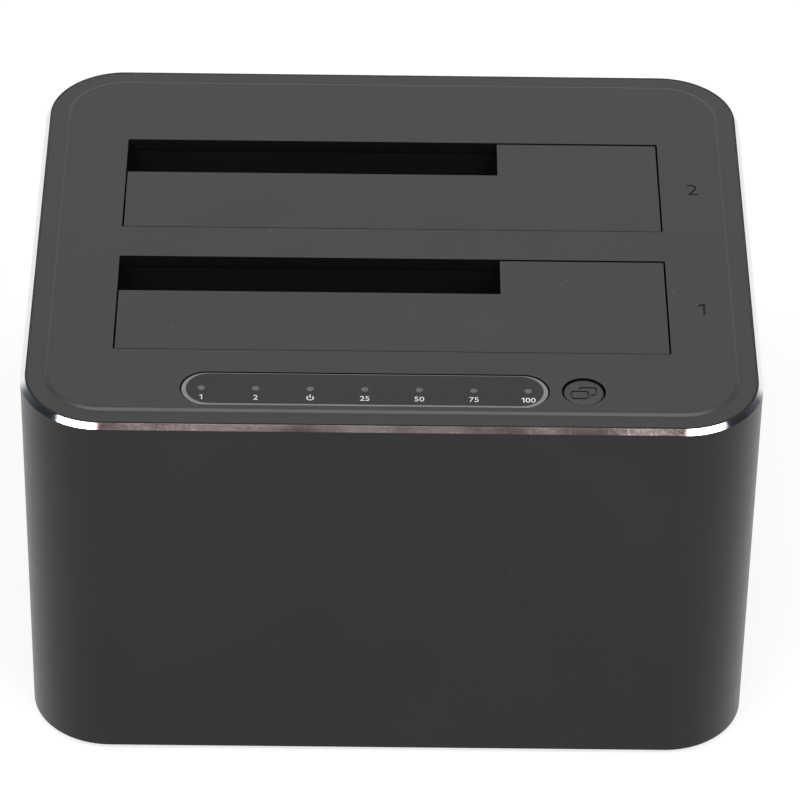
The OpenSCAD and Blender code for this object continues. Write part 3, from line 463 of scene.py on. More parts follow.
def figure_one(depth):
    """A plain figure one with a flag, one unit high."""
    outline = ((0.24, 0), (0.39, 0), (0.39, 1), (0.26, 1), (0, 0.86), (0, 0.71), (0.24, 0.82))
    fresh()
    bpy.ops.mesh.primitive_circle_add(vertices=len(outline), fill_type="NGON")
    piece = settle("figure_one")
    bpy.ops.object.mode_set(mode="EDIT")
    mesh = bmesh.from_edit_mesh(piece.data)
    for vert, (x, y) in zip(mesh.verts, outline):
        vert.co = (x, y, -depth / 2)
    bmesh.update_edit_mesh(piece.data)
    bpy.ops.mesh.select_all(action="SELECT")
    raise_face(depth)
    fresh()
    return piece


def figures(text, depth):
    """Other figures, one unit high."""
    fresh()
    bpy.ops.object.text_add()
    bpy.context.object.data.body = text
    bpy.ops.object.convert(target="MESH")
    piece = bpy.context.object
    low, high = extents(piece)
    scale = 1 / (high.y - low.y)
    piece.scale = (scale, scale, 1)
    piece.location = (-low.x * scale, -low.y * scale, -depth / 2)
    settle("figures")
    select_whole()
    raise_face(depth)
    fresh()
    return piece


def lettering(name, text, centre, height, depth):
    """A number of the given height, modelled as a thin closed mesh about centre."""
    parts = []
    if text.startswith("1"):
        parts.append(figure_one(depth))
    if text.lstrip("1"):
        parts.append(figures(text.lstrip("1"), depth))
        if len(parts) > 1:
            activate(parts[1])
            parts[1].location.x = extents(parts[0])[1].x + FIGURE_GAP
            settle("figures")
    piece = fuse(name, parts)
    low, high = extents(piece)
    piece.scale = (height, height, 1)
    piece.location = Vector(centre) - Vector(((low.x + high.x) / 2 * height, height / 2, 0))
    settle(name)
    select_whole()
    bpy.ops.mesh.remove_doubles(threshold=WELD)
    bpy.ops.mesh.normals_make_consistent(inside=False)
    fresh()
    return piece


def fuse(name, pieces):
    """Joins pieces that never part into one object."""
    activate(pieces[0])
    for piece in pieces:
        piece.select_set(True)
    if len(pieces) > 1:
        bpy.ops.object.join()
    return settle(name)


def dress(piece, body, slot, *nodes):
    """Gives a piece its material, its body and the frame nodes that it stands for."""
    fresh()
    piece.data.materials.clear()
    piece.data.materials.append(material(slot))
    for face in piece.data.polygons:
        face.material_index = 0
    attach(piece, body)
    if nodes:
        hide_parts(*nodes)


def face_finish(piece, made, test):
    """Gives the faces for which test is true another material."""
    piece.data.materials.append(made)
    for face in piece.data.polygons:
        if test(face):
            face.material_index = len(piece.data.materials) - 1


def uncoated(face):
    """True for walls and undersides, which take black plastic as painted shade in the mouths, holes and gaps."""
    return face.normal.z < 0.35


def bay_fronts(sizes):
    """Front edges of the two mouths, and their depth."""
    inner = SLEEVE_HIGH.y - SLEEVE_LOW.y - sizes.front_strip - sizes.rear_strip
    depth = (inner - sizes.bay_web) / 2
    front = SLEEVE_LOW.y + sizes.front_strip
    return (front, front + depth + sizes.bay_web), depth


def corners_of(node, radius):
    """Middles of the round pieces at the corners of a node's box, or in its one row."""
    low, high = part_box(node)
    radius = min(radius, (high.y - low.y) / 2)
    xs, ys = ({round(low[i] + radius, 5), round(high[i] - radius, 5)} for i in (0, 1))
    return [(x, y) for x in sorted(xs) for y in sorted(ys)]


# Shared effects

def new_effect(name, inputs, outputs):
    """An empty node group with named number inputs and outputs, and its two end nodes."""
    group = bpy.data.node_groups.new(name, "ShaderNodeTree")
    for label, value in inputs.items():
        kind = "NodeSocketVector" if isinstance(value, tuple) else "NodeSocketFloat"
        socket = group.interface.new_socket(label, in_out="INPUT", socket_type=kind)
        socket.default_value = value
    for label in outputs:
        group.interface.new_socket(label, in_out="OUTPUT", socket_type="NodeSocketFloat")
    return group, group.nodes.new("NodeGroupInput"), group.nodes.new("NodeGroupOutput")


def grain_effect():
    """Fine grain for bump, and a tone that follows a slow drift and a little of the grain."""
    inputs = {"Scale": 9000.0, "Drift Scale": 60.0, "Grain Share": 0.5}
    group, given, out = new_effect("fine_grain", inputs, ("Height", "Drift"))
    place = group.nodes.new("ShaderNodeTexCoord")
    grain, drift = (group.nodes.new("ShaderNodeTexNoise") for _ in range(2))
    for noise, source in ((grain, "Scale"), (drift, "Drift Scale")):
        noise.inputs["Detail"].default_value = 3.0
        group.links.new(place.outputs["Object"], noise.inputs["Vector"])
        group.links.new(given.outputs[source], noise.inputs["Scale"])
    mix = group.nodes.new("ShaderNodeMix")
    group.links.new(given.outputs["Grain Share"], mix.inputs["Factor"])
    group.links.new(drift.outputs["Fac"], mix.inputs["A"])
    group.links.new(grain.outputs["Fac"], mix.inputs["B"])
    group.links.new(grain.outputs["Fac"], out.inputs["Height"])
    group.links.new(mix.outputs["Result"], out.inputs["Drift"])
    return group


def line_effect():
    """Lines drawn along one direction: the stretch is small along it and large across it."""
    group, given, out = new_effect("drawn_lines", {"Stretch": (40.0, 40.0, 4000.0)}, ("Lines",))
    place = group.nodes.new("ShaderNodeTexCoord")
    across = group.nodes.new("ShaderNodeVectorMath")
    across.operation = "MULTIPLY"
    noise = group.nodes.new("ShaderNodeTexNoise")
    noise.inputs["Scale"].default_value = 1.0
    noise.inputs["Detail"].default_value = 2.0
    group.links.new(place.outputs["Object"], across.inputs[0])
    group.links.new(given.outputs["Stretch"], across.inputs[1])
    group.links.new(across.outputs["Vector"], noise.inputs["Vector"])
    group.links.new(noise.outputs["Fac"], out.inputs["Lines"])
    return group


def dust_effect():
    """Sparse specks: a small dot in a few of the cells."""
    group, given, out = new_effect("dust_specks", {"Scale": 160.0, "Share": 0.06}, ("Mask",))
    place = group.nodes.new("ShaderNodeTexCoord")
    cells = group.nodes.new("ShaderNodeTexVoronoi")
    dot = group.nodes.new("ShaderNodeMapRange")
    dot.inputs["From Min"].default_value = 0.022
    dot.inputs["From Max"].default_value = 0.01
    pick_few = group.nodes.new("ShaderNodeMath")
    pick_few.operation = "LESS_THAN"
    both = group.nodes.new("ShaderNodeMath")
    both.operation = "MULTIPLY"
    split = group.nodes.new("ShaderNodeSeparateColor")
    group.links.new(place.outputs["Object"], cells.inputs["Vector"])
    group.links.new(given.outputs["Scale"], cells.inputs["Scale"])
    group.links.new(cells.outputs["Distance"], dot.inputs["Value"])
    group.links.new(cells.outputs["Color"], split.inputs["Color"])
    group.links.new(split.outputs["Red"], pick_few.inputs[0])
    group.links.new(given.outputs["Share"], pick_few.inputs[1])
    group.links.new(dot.outputs["Result"], both.inputs[0])
    group.links.new(pick_few.outputs["Value"], both.inputs[1])
    group.links.new(both.outputs["Value"], out.inputs["Mask"])
    return group


EFFECTS = {"fine_grain": grain_effect, "drawn_lines": line_effect, "dust_specks": dust_effect}


class Finish:
    """A material in the making: its shader, its nodes and short ways to wire them."""

    def __init__(self, name, colour, roughness, metallic=0.0, specular=0.5):
        self.made = bpy.data.materials.new(name)
        self.made.use_nodes = True
        self.tree = self.made.node_tree
        self.shader = self.tree.nodes["Principled BSDF"]
        self.colour = tuple(colour)
        self.set(Base_Color=self.colour, Roughness=roughness, Metallic=metallic,
                 Specular_IOR_Level=specular)

    def set(self, **values):
        """Sets the shader's own sockets; a space in a socket's name is written as _."""
        for label, value in values.items():
            self.shader.inputs[label.replace("_", " ")].default_value = value

    def node(self, kind, **settings):
        made = self.tree.nodes.new(kind)
        for label, value in settings.items():
            setattr(made, label, value)
        return made

    def link(self, source, target):
        self.tree.links.new(source, target)

    def effect(self, name, **values):
        """Places a shared effect with values of its own."""
        group = self.node("ShaderNodeGroup")
        group.node_tree = bpy.data.node_groups.get(name) or EFFECTS[name]()
        for label, value in values.items():
            group.inputs[label.replace("_", " ")].default_value = value
        return group

    def shade(self, mask, first, second, base=None):
        """Mixes two colours by a mask into the base colour, or over an earlier mix."""
        mix = self.node("ShaderNodeMix", data_type="RGBA")
        mix.inputs["A"].default_value = first
        mix.inputs["B"].default_value = second
        self.link(mask, mix.inputs["Factor"])
        if base is not None:
            self.link(base, mix.inputs["A"])
        self.link(mix.outputs["Result"], self.shader.inputs["Base Color"])
        return mix.outputs["Result"]

    def spread(self, mask, low, high, target):
        """Maps a mask from 0.3 to 0.7 onto a range of a shader socket."""
        span = self.node("ShaderNodeMapRange")
        span.inputs["From Min"].default_value = 0.3
        span.inputs["From Max"].default_value = 0.7
        span.inputs["To Min"].default_value = low
        span.inputs["To Max"].default_value = high
        self.link(mask, span.inputs["Value"])
        self.link(span.outputs["Result"], self.shader.inputs[target])

    def ramp(self, source, low, high, top=1.0):
        """A smooth step from 0 to top between two values of a source."""
        span = self.node("ShaderNodeMapRange", interpolation_type="SMOOTHSTEP")
        span.inputs["To Max"].default_value = top
        span.inputs["From Min"].default_value = low
        span.inputs["From Max"].default_value = high
        self.link(source, span.inputs["Value"])
        return span.outputs["Result"]

    def place(self):
        """The outputs for the X, Y and Z of a point on the piece."""
        place = self.node("ShaderNodeTexCoord")
        split = self.node("ShaderNodeSeparateXYZ")
        self.link(place.outputs["Object"], split.inputs["Vector"])
        return split.outputs

    def bump(self, height, depth):
        bump = self.node("ShaderNodeBump")
        bump.inputs["Strength"].default_value = 1.0
        bump.inputs["Distance"].default_value = depth
        self.link(height, bump.inputs["Height"])
        self.link(bump.outputs["Normal"], self.shader.inputs["Normal"])


def toned(colour, factor):
    """A colour made lighter or darker."""
    return tuple(min(1.0, c * factor) for c in colour[:3]) + (1.0,)


def moulded(name, colour, roughness, grain=7000.0, depth=0.000012, drift=0.1, specular=0.4, dust=0.0):
    """Moulded plastic: spark-eroded grain, a slow drift of tone and gloss, and a little dust."""
    finish = Finish(name, colour, roughness, specular=specular)
    texture = finish.effect("fine_grain", Scale=grain)
    tone = finish.shade(texture.outputs["Drift"], toned(colour, 1 - drift), toned(colour, 1 + drift))
    if dust:
        specks = finish.effect("dust_specks", Share=dust)
        finish.shade(specks.outputs["Mask"], finish.colour, linear("#9a9895"), base=tone)
    finish.spread(texture.outputs["Drift"], roughness - 0.05, roughness + 0.05, "Roughness")
    finish.bump(texture.outputs["Height"], depth)
    return finish.made


def drawn(name, colour, roughness, stretch, depth=0.000004, drift=0.08, metallic=1.0):
    """Metal with fine lines along the way it was drawn, rolled or turned."""
    finish = Finish(name, colour, roughness, metallic=metallic)
    lines = finish.effect("drawn_lines", Stretch=stretch)
    finish.shade(lines.outputs["Lines"], toned(colour, 1 - drift), toned(colour, 1 + drift))
    finish.spread(lines.outputs["Lines"], roughness - 0.06, roughness + 0.06, "Roughness")
    finish.bump(lines.outputs["Lines"], depth)
    return finish.made


# Finishes, one for each material slot of the record and a few more

# Moulded ones: colour (in DockFinish, or a code), roughness, other values
MOULDED = {
    "panel_plastic": ("panel", 0.4, {"grain": 4500.0, "depth": 0.000016, "drift": 0.3, "specular": 0.5,
                                     "dust": 0.5}),
    "black_plastic": ("black", 0.6, {"grain": 5000.0, "depth": 0.000015, "specular": 0.2}),
    "button_plastic": ("button", 0.5, {"grain": 9000.0, "depth": 0.000006, "specular": 0.35}),
    "cradle_plastic": ("cradle", 0.62, {"grain": 5000.0, "depth": 0.00002, "specular": 0.3}),
    "socket_plastic": ("socket", 0.48, {"grain": 6000.0, "depth": 0.00001}),
    "usb_plastic": ("usb", 0.45, {"grain": 6000.0, "depth": 0.00001}),
    "power_cap": ("power_cap", 0.42, {"grain": 8000.0, "depth": 0.000008}),
    "foot_rubber": ("rubber", 0.78, {"grain": 3500.0, "depth": 0.00004, "specular": 0.25, "dust": 0.12}),
    "window_edge": ("window_edge", 0.25, {"grain": 4000.0, "depth": 0.000004, "specular": 0.7}),
    "label_ink": ("ink", 0.55, {"grain": 12000.0, "depth": 0.000003, "drift": 0.05}),
    "lamp_plastic": ("#d9d4be", 0.35, {"grain": 4000.0, "depth": 0.000004}),
    "capacitor_can": ("#2c3a5e", 0.3, {"grain": 2500.0, "depth": 0.000006}),
    "ferrite": ("#47474a", 0.7, {"grain": 2500.0, "depth": 0.00004}),
}

# Drawn, rolled or turned ones, in the same way
DRAWN = {
    "ribbon_plastic": ("#cfcbbd", 0.5, {"stretch": (800.0, 10.0, 10.0), "depth": 0.00006, "metallic": 0.0}),
    "gilt_contacts": ("#d8ac52", 0.26, {"stretch": (3000.0, 300.0, 60.0)}),
    "plated_shell": ("#c4c6c8", 0.28, {"stretch": (900.0, 40.0, 900.0), "depth": 0.000003}),
    "plain_steel": ("#b3b5b8", 0.34, {"stretch": (2500.0, 2500.0, 300.0)}),
    "spring_steel": ("#b9bbbe", 0.3, {"stretch": (300.0, 2500.0, 2500.0)}),
}


def anodised_aluminium(colours):
    """Bead-blasted, dark anodised extrusion, with painted shade that darkens it a little towards its foot."""
    finish = Finish("anodised_aluminium", colours.sleeve, 0.42, metallic=1.0)
    blast = finish.effect("fine_grain", Scale=5000.0, Drift_Scale=35.0)
    lines = finish.effect("drawn_lines", Stretch=(6.0, 6.0, 900.0))
    tone = finish.shade(blast.outputs["Drift"], toned(colours.sleeve, 0.65), toned(colours.sleeve, 1.35))
    tone = finish.shade(finish.effect("dust_specks", Scale=140.0, Share=0.3).outputs["Mask"],
                        finish.colour, linear("#6a6a6c"), base=tone)
    # Painted shade: black is mixed in towards the sleeve's foot
    foot = finish.ramp(finish.place()["Z"], FOOT_SHADE_FROM, 0.0, top=FOOT_SHADE_SHARE)
    finish.shade(foot, finish.colour, linear("#000000"), base=tone)
    finish.set(Sheen_Weight=0.22, Sheen_Roughness=0.6)
    finish.spread(lines.outputs["Lines"], 0.40, 0.44, "Roughness")
    finish.bump(blast.outputs["Height"], 0.000006)
    return finish.made


def bright_cut(colours):
    """Polished cut along the rim: faint streaks, and painted reflections in its colour: darker stretches in front,
    painted white glints and cold dark reflections at the front corners, and white reflections along the sides.
    """
    finish = Finish("bright_cut", colours.cut, 0.12, metallic=1.0)
    stretches = finish.effect("drawn_lines", Stretch=(45.0, 45.0, 45.0))
    fine = finish.effect("drawn_lines", Stretch=(2400.0, 2400.0, 400.0))
    place = finish.place()
    aside = finish.node("ShaderNodeMath", operation="ABSOLUTE")
    finish.link(place["X"], aside.inputs[0])
    # Painted reflections: darker stretches in front, a painted white glint, cold dark reflections at the corners
    # and white reflections on the sides
    reflection_patches = finish.ramp(stretches.outputs["Lines"], 0.4, 0.62)
    painted_glint = finish.ramp(aside.outputs["Value"], *PAINTED_GLINT_FROM)
    corner = finish.ramp(aside.outputs["Value"], *CORNER_REFLECTION_FROM)
    side_reflection = finish.ramp(place["Y"], *SIDE_REFLECTION_FROM)
    tone = finish.shade(reflection_patches, colours.cut_dark, colours.cut)
    tone = finish.shade(painted_glint, finish.colour, colours.cut_clear, base=tone)
    tone = finish.shade(corner, finish.colour, colours.cut_cold, base=tone)
    finish.shade(side_reflection, finish.colour, colours.cut_clear, base=tone)
    finish.spread(fine.outputs["Lines"], 0.07, 0.17, "Roughness")
    finish.bump(fine.outputs["Lines"], 0.000003)
    return finish.made


def number_groove(colours):
    """Rougher floor of the bay numbers, darker as painted shade."""
    return moulded("number_groove", toned(colours.panel, 0.45), 0.75, depth=0.00003, specular=0.25)


def smoked_acrylic(colours):
    """Satin face over a dark back print, with very faint haze."""
    finish = Finish("smoked_acrylic", colours.window, 0.3, specular=0.35)
    haze = finish.effect("fine_grain", Scale=2500.0, Drift_Scale=90.0)
    finish.shade(haze.outputs["Drift"], toned(colours.window, 0.97), toned(colours.window, 1.03))
    finish.spread(haze.outputs["Drift"], 0.38, 0.44, "Roughness")
    finish.bump(haze.outputs["Height"], 0.000001)
    return finish.made


def milky_acrylic(colours):
    """Milky light pipes with a faint cloudy tone."""
    finish = Finish("milky_acrylic", colours.lamp_tip, 0.35)
    cloud = finish.effect("fine_grain", Scale=3000.0, Drift_Scale=900.0)
    finish.shade(cloud.outputs["Drift"], toned(colours.lamp_tip, 0.85), toned(colours.lamp_tip, 1.2))
    finish.bump(cloud.outputs["Height"], 0.000003)
    finish.set(Subsurface_Weight=0.2, Subsurface_Scale=0.001)
    return finish.made


def board_laminate(colours):
    """Solder mask with the weave of the laminate and pale tracks under it."""
    finish = Finish("board_laminate", colours.board, 0.38)
    weave = finish.effect("drawn_lines", Stretch=(900.0, 900.0, 10.0))
    tracks = finish.effect("dust_specks", Scale=420.0, Share=0.5)
    tone = finish.shade(weave.outputs["Lines"], toned(colours.board, 0.8), toned(colours.board, 1.2))
    finish.shade(tracks.outputs["Mask"], finish.colour, linear("#b9a46a"), base=tone)
    finish.bump(weave.outputs["Lines"], 0.00001)
    return finish.made


SPECIAL = {build.__name__: build for build in (
    anodised_aluminium, bright_cut, number_groove, smoked_acrylic, milky_acrylic, board_laminate)}


def material(name):
    """The named finish, built the first time that it is asked for."""
    made = bpy.data.materials.get("dock_" + name)
    if made is None:
        made = build_finish(name, bpy.context.scene.dock_finish)
        made.name = "dock_" + name
    return made


def build_finish(name, colours):
    if name in SPECIAL:
        return SPECIAL[name](colours)
    build, table = (moulded, MOULDED) if name in MOULDED else (drawn, DRAWN)
    colour, roughness, rest = table[name]
    shade = linear(colour) if colour.startswith("#") else getattr(colours, colour)
    return build(name, shade, roughness, **rest)


# Pieces

class DOCK_OT_stage(Operator):
    """Sets up the camera, the pale floor, the soft lamps and the white surround"""

    bl_idname = "dock.stage"
    bl_label = "Stage"

    def execute(self, context):
        look = context.scene.dock_stage
        context.scene.view_settings.view_transform = "Standard"
        self.add_camera(context.scene, look)
        self.add_floor(look)
        self.light_world(context.scene, look)
        for name, power, place, size in LAMPS:
            self.add_lamp(name, getattr(look, power), place, size)
        return {"FINISHED"}

    def add_camera(self, scene, look):
        ahead = Vector((math.sin(look.yaw) * math.cos(look.pitch),
                        math.cos(look.yaw) * math.cos(look.pitch), -math.sin(look.pitch)))
        level = Vector((math.cos(look.yaw), -math.sin(look.yaw), 0))
        upright = level.cross(ahead)
        right = level * math.cos(look.roll) + upright * math.sin(look.roll)
        up = upright * math.cos(look.roll) - level * math.sin(look.roll)
        fresh()
        bpy.ops.object.camera_add()
        camera = bpy.context.object
        turn = Matrix((right, up, -ahead)).transposed().to_4x4()
        camera.matrix_world = Matrix.Translation(Vector(look.target) - ahead * look.distance) @ turn
        camera.data.sensor_width = 36
        camera.data.lens = look.lens
        camera.data.clip_start = 0.01
        scene.camera = camera

    def add_floor(self, look):
        fresh()
        bpy.ops.mesh.primitive_plane_add(size=6)
        floor = settle("floor")
        made = bpy.data.materials.new("pale_floor")
        made.use_nodes = True
        tree = made.node_tree
        tree.nodes.remove(tree.nodes["Principled BSDF"])
        matte = tree.nodes.new("ShaderNodeBsdfDiffuse")
        matte.inputs["Color"].default_value = look.floor
        glow = tree.nodes.new("ShaderNodeEmission")
        share = tree.nodes.new("ShaderNodeMath")
        share.operation = "MULTIPLY"
        share.inputs[1].default_value = look.glow
        both = tree.nodes.new("ShaderNodeAddShader")
        tree.links.new(self.seen_directly(tree), share.inputs[0])
        tree.links.new(share.outputs["Value"], glow.inputs["Strength"])
        tree.links.new(matte.outputs["BSDF"], both.inputs[0])
        tree.links.new(glow.outputs["Emission"], both.inputs[1])
        tree.links.new(both.outputs["Shader"], tree.nodes["Material Output"].inputs["Surface"])
        floor.data.materials.append(made)

    def light_world(self, scene, look):
        world = bpy.data.worlds.new("white_surround")
        world.use_nodes = True
        tree = world.node_tree
        soft = tree.nodes["Background"]
        soft.inputs["Color"].default_value = (1, 1, 1, 1)
        soft.inputs["Strength"].default_value = look.ambient
        white = tree.nodes.new("ShaderNodeBackground")
        white.inputs["Color"].default_value = (1, 1, 1, 1)
        self.dim_ceiling(tree, white, look)
        mix = tree.nodes.new("ShaderNodeMixShader")
        tree.links.new(self.seen_directly(tree), mix.inputs["Fac"])
        tree.links.new(soft.outputs["Background"], mix.inputs[1])
        tree.links.new(white.outputs["Background"], mix.inputs[2])
        tree.links.new(mix.outputs["Shader"], tree.nodes["World Output"].inputs["Surface"])
        scene.world = world

    def dim_ceiling(self, tree, white, look):
        """White up to just over the horizon, and dimmer towards the ceiling."""
        place = tree.nodes.new("ShaderNodeTexCoord")
        split = tree.nodes.new("ShaderNodeSeparateXYZ")
        fall = tree.nodes.new("ShaderNodeMapRange")
        fall.interpolation_type = "SMOOTHSTEP"
        fall.inputs["From Min"].default_value = look.dim_from
        fall.inputs["From Max"].default_value = look.dim_to
        fall.inputs["To Min"].default_value = 1.0
        fall.inputs["To Max"].default_value = look.ceiling
        tree.links.new(place.outputs["Generated"], split.inputs["Vector"])
        tree.links.new(split.outputs["Z"], fall.inputs["Value"])
        tree.links.new(fall.outputs["Result"], white.inputs["Strength"])

    def seen_directly(self, tree):
        """1 for rays from the camera, from gloss and through glass, and 0 for the rest."""
        path = tree.nodes.new("ShaderNodeLightPath")
        total = path.outputs["Is Camera Ray"]
        for label in ("Is Glossy Ray", "Is Transmission Ray"):
            larger = tree.nodes.new("ShaderNodeMath")
            larger.operation = "MAXIMUM"
            tree.links.new(total, larger.inputs[0])
            tree.links.new(path.outputs[label], larger.inputs[1])
            total = larger.outputs["Value"]
        return total

    def add_lamp(self, name, power, place, size):
        fresh()
        bpy.ops.object.light_add(type="AREA", location=place)
        lamp = bpy.context.object
        lamp.name = name
        lamp.data.shape = "RECTANGLE"
        lamp.data.size, lamp.data.size_y = size
        lamp.data.energy = power
        aim = Vector((0, 0, SLEEVE_HIGH.z)) - Vector(place)
        lamp.rotation_euler = aim.to_track_quat("-Z", "Y").to_euler()


class DOCK_OT_sleeve(Operator):
    """Shapes the aluminium sleeve: wall, bright rim, seats for panel and base, and port windows"""

    bl_idname = "dock.sleeve"
    bl_label = "Sleeve"

    def execute(self, context):
        s = context.scene.dock_sizes
        rim = s.chamfer + s.land
        base_top = SLEEVE_LOW.z + s.base_seat
        shoulder = SLEEVE_HIGH.z - s.chamfer
        piece = rounded_block("aluminium_sleeve", SLEEVE_LOW, (SLEEVE_HIGH.x, SLEEVE_HIGH.y, shoulder),
                              s.corner_radius)
        pick_cap(piece, shoulder)
        step_in(s.chamfer, s.chamfer)
        step_in(s.land)
        raise_face(-s.panel_thickness)
        step_in(s.wall - rim)
        raise_face(base_top - SLEEVE_HIGH.z + s.panel_thickness)
        pick_cap(piece, SLEEVE_LOW.z, up=False)
        step_in(rim)
        raise_face(base_top - SLEEVE_LOW.z)
        pick(piece, "FACE", lambda f: abs(f.normal.z) > 0.99 and len(f.verts) > 8
             and abs(f.calc_center_median().z - base_top) < LAP / 10)
        bpy.ops.mesh.delete(type="ONLY_FACE")
        pick(piece, "EDGE", lambda e: e.is_boundary)
        bpy.ops.mesh.bridge_edge_loops()
        bpy.ops.mesh.select_all(action="SELECT")
        bpy.ops.mesh.normals_make_consistent(inside=False)
        fresh()
        combine(piece, self.window_cutters(s), "DIFFERENCE")
        soften(piece, s.cut_edge)
        dress(piece, "housing", "anodised_aluminium", "sleeve")
        face_finish(piece, material("bright_cut"),
                    lambda f: f.center.z > shoulder - s.cut_edge and 0.3 < f.normal.z < 0.95)
        return {"FINISHED"}

    def window_cutters(self, s):
        depth = s.wall + 2 * LAP
        y = SLEEVE_HIGH.y - s.wall - LAP
        low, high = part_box("usb_shell")
        room = s.port_room
        usb = add_block("usb_cut", (low.x - room, y, low.z - room),
                        (high.x + room, y + depth, high.z + room))
        round_edges(usb, is_along("Y"), room, 6)
        cuts = [usb]
        for node, gap in (("dc_pin", s.inlet_room), ("power_button", s.button_gap)):
            low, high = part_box(node)
            radius = (high.x - low.x) / 2 + gap
            start = ((low.x + high.x) / 2, y, (low.z + high.z) / 2)
            cuts.append(add_cylinder("round_cut", start, radius, depth, "Y"))
        return cuts


class DOCK_OT_top_panel(Operator):
    """Moulds the top panel: raised field, mouths, window seat, button hole, bosses and bay numbers"""

    bl_idname = "dock.top_panel"
    bl_label = "Top panel"

    def execute(self, context):
        s = context.scene.dock_sizes
        seat = SLEEVE_HIGH.z - s.panel_thickness
        margin = Vector((s.panel_inset, s.panel_inset, 0))
        low = Vector((SLEEVE_LOW.x, SLEEVE_LOW.y, seat)) + margin
        piece = rounded_block("moulded_panel", low, SLEEVE_HIGH - margin, s.corner_radius - s.panel_inset)
        pick_cap(piece, SLEEVE_HIGH.z)
        step_in(s.field_inset - s.panel_inset)
        step_in(s.field_slope, FIELD_Z - SLEEVE_HIGH.z)
        round_edges(piece, self.on_slope, s.slope_round, 3)
        fresh()
        combine(piece, self.ears(s, seat) + self.bosses(s, seat), "UNION")
        combine(piece, self.openings(s, seat), "DIFFERENCE")
        soften(piece, s.soft_edge)
        combine(piece, self.bay_numbers(s), "DIFFERENCE")
        soften(piece, 0)
        dress(piece, "housing", "panel_plastic", "top_panel")
        # Walls and undersides take black plastic as painted shade
        face_finish(piece, material("black_plastic"), uncoated)
        # The groove floors of the bay numbers take a darker finish as painted shade
        groove = FIELD_Z - s.mark_depth
        face_finish(piece, material("number_groove"),
                    lambda f: f.normal.z > 0.99 and abs(f.center.z - groove) < LAP / 20)
        return {"FINISHED"}

    def on_slope(self, edge):
        """Whether an edge runs along the foot or the crest of the slope."""
        level = abs(edge.verts[0].co.z - edge.verts[1].co.z) < LAP / 10
        return level and math.radians(20) < edge.calc_face_angle(0) < math.radians(60)

    def ears(self, s, seat):
        """Hinge ears at the ends of each mouth, with round feet and a hole for the pin."""
        found = []
        inner = SLEEVE_HIGH.x - s.side_strip + s.ear_gap
        for hinge in HINGES.values():
            for side in (-1, 1):
                x = sorted((side * inner, side * (inner + s.ear_thickness)))
                ear = add_block("ear", (x[0], hinge.y - s.ear_radius, hinge.z - s.ear_radius),
                                (x[1], hinge.y + s.ear_radius, seat + LAP))
                round_edges(ear, lambda e: is_along("X")(e) and e.verts[0].co.z < hinge.z,
                            s.ear_radius * 0.999, 10)
                fresh()
                found.append(ear)
        return found

    def bosses(self, s, seat):
        """Screw bosses that hold the cradle and the indicator board."""
        found = []
        feet = {"panel_screws": seat - s.boss_drop, "control_screws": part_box("control_board")[1].z}
        for node, foot in feet.items():
            for x, y in corners_of(node, s.head_radius):
                boss = add_cylinder("boss", (x, y, foot), s.boss_radius, seat + LAP - foot, sides=32)
                bore = add_cylinder("bore", (x, y, foot - LAP), s.screw_radius, seat - foot, sides=24)
                combine(boss, [bore], "DIFFERENCE")
                found.append(boss)
        return found

    def openings(self, s, seat):
        """Mouths, window seat, its light opening, the button hole and the hinge pins' bores."""
        fronts, depth = bay_fronts(s)
        half = SLEEVE_HIGH.x - s.side_strip
        cuts = [rounded_block("mouth", (-half, front, seat - LAP), (half, front + depth, FIELD_Z + LAP),
                              s.mouth_corner, 4) for front in fronts]
        low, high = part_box("indicator_window")
        grow = Vector((s.seat_gap, s.seat_gap, 0))
        cuts.append(self.stadium("window_seat", low - grow, high + grow + Vector((0, 0, LAP))))
        shrink = Vector((s.window_ledge, s.window_ledge, 0))
        light = self.stadium("light_opening", low + shrink - Vector((0, 0, 2 * LAP)), high - shrink)
        low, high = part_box("clone_button")
        middle = (low + high) / 2
        hole = add_cylinder("button_hole", (middle.x, middle.y, seat - LAP), s.button_radius + s.button_gap,
                            s.panel_thickness + 4 * LAP)
        pins = []
        for node in ("front_hinge_pin", "rear_hinge_pin"):
            low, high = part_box(node)
            middle = (low + high) / 2
            start = (low.x - 4 * LAP, middle.y, middle.z)
            radius = (high.z - low.z) / 2 + PIN_PLAY
            pins.append(add_cylinder("pin_bore", start, radius, high.x - low.x + 8 * LAP, "X", 32))
        combine(cuts[2], [light], "UNION")
        return cuts + [hole] + pins

    def stadium(self, name, low, high):
        """A bar with round ends."""
        made = rounded_block(name, low, high, (high.y - low.y) / 2 * 0.9999)
        fresh()
        return made

    def bay_numbers(self, s):
        """Plain numbers beside the mouths, cut into the field."""
        fronts, depth = bay_fronts(s)
        x = SLEEVE_HIGH.x - s.mark_inset
        rows = [front + depth / 2 - MARK_SHIFT for front in fronts]
        return [lettering("bay_number", str(i), (x, y, FIELD_Z), s.mark_height, 2 * s.mark_depth)
                for i, y in enumerate(rows, 1)]


class DOCK_OT_flaps(Operator):
    """Softens the edges of the two drive flaps"""

    bl_idname = "dock.flaps"
    bl_label = "Flaps"

    def execute(self, context):
        for node in ("front_flap", "rear_flap"):
            piece = softened_copy(node, node + "_door", context.scene.dock_sizes.soft_edge)
            dress(piece, node, "panel_plastic", node)
            face_finish(piece, material("black_plastic"), uncoated)
        return {"FINISHED"}


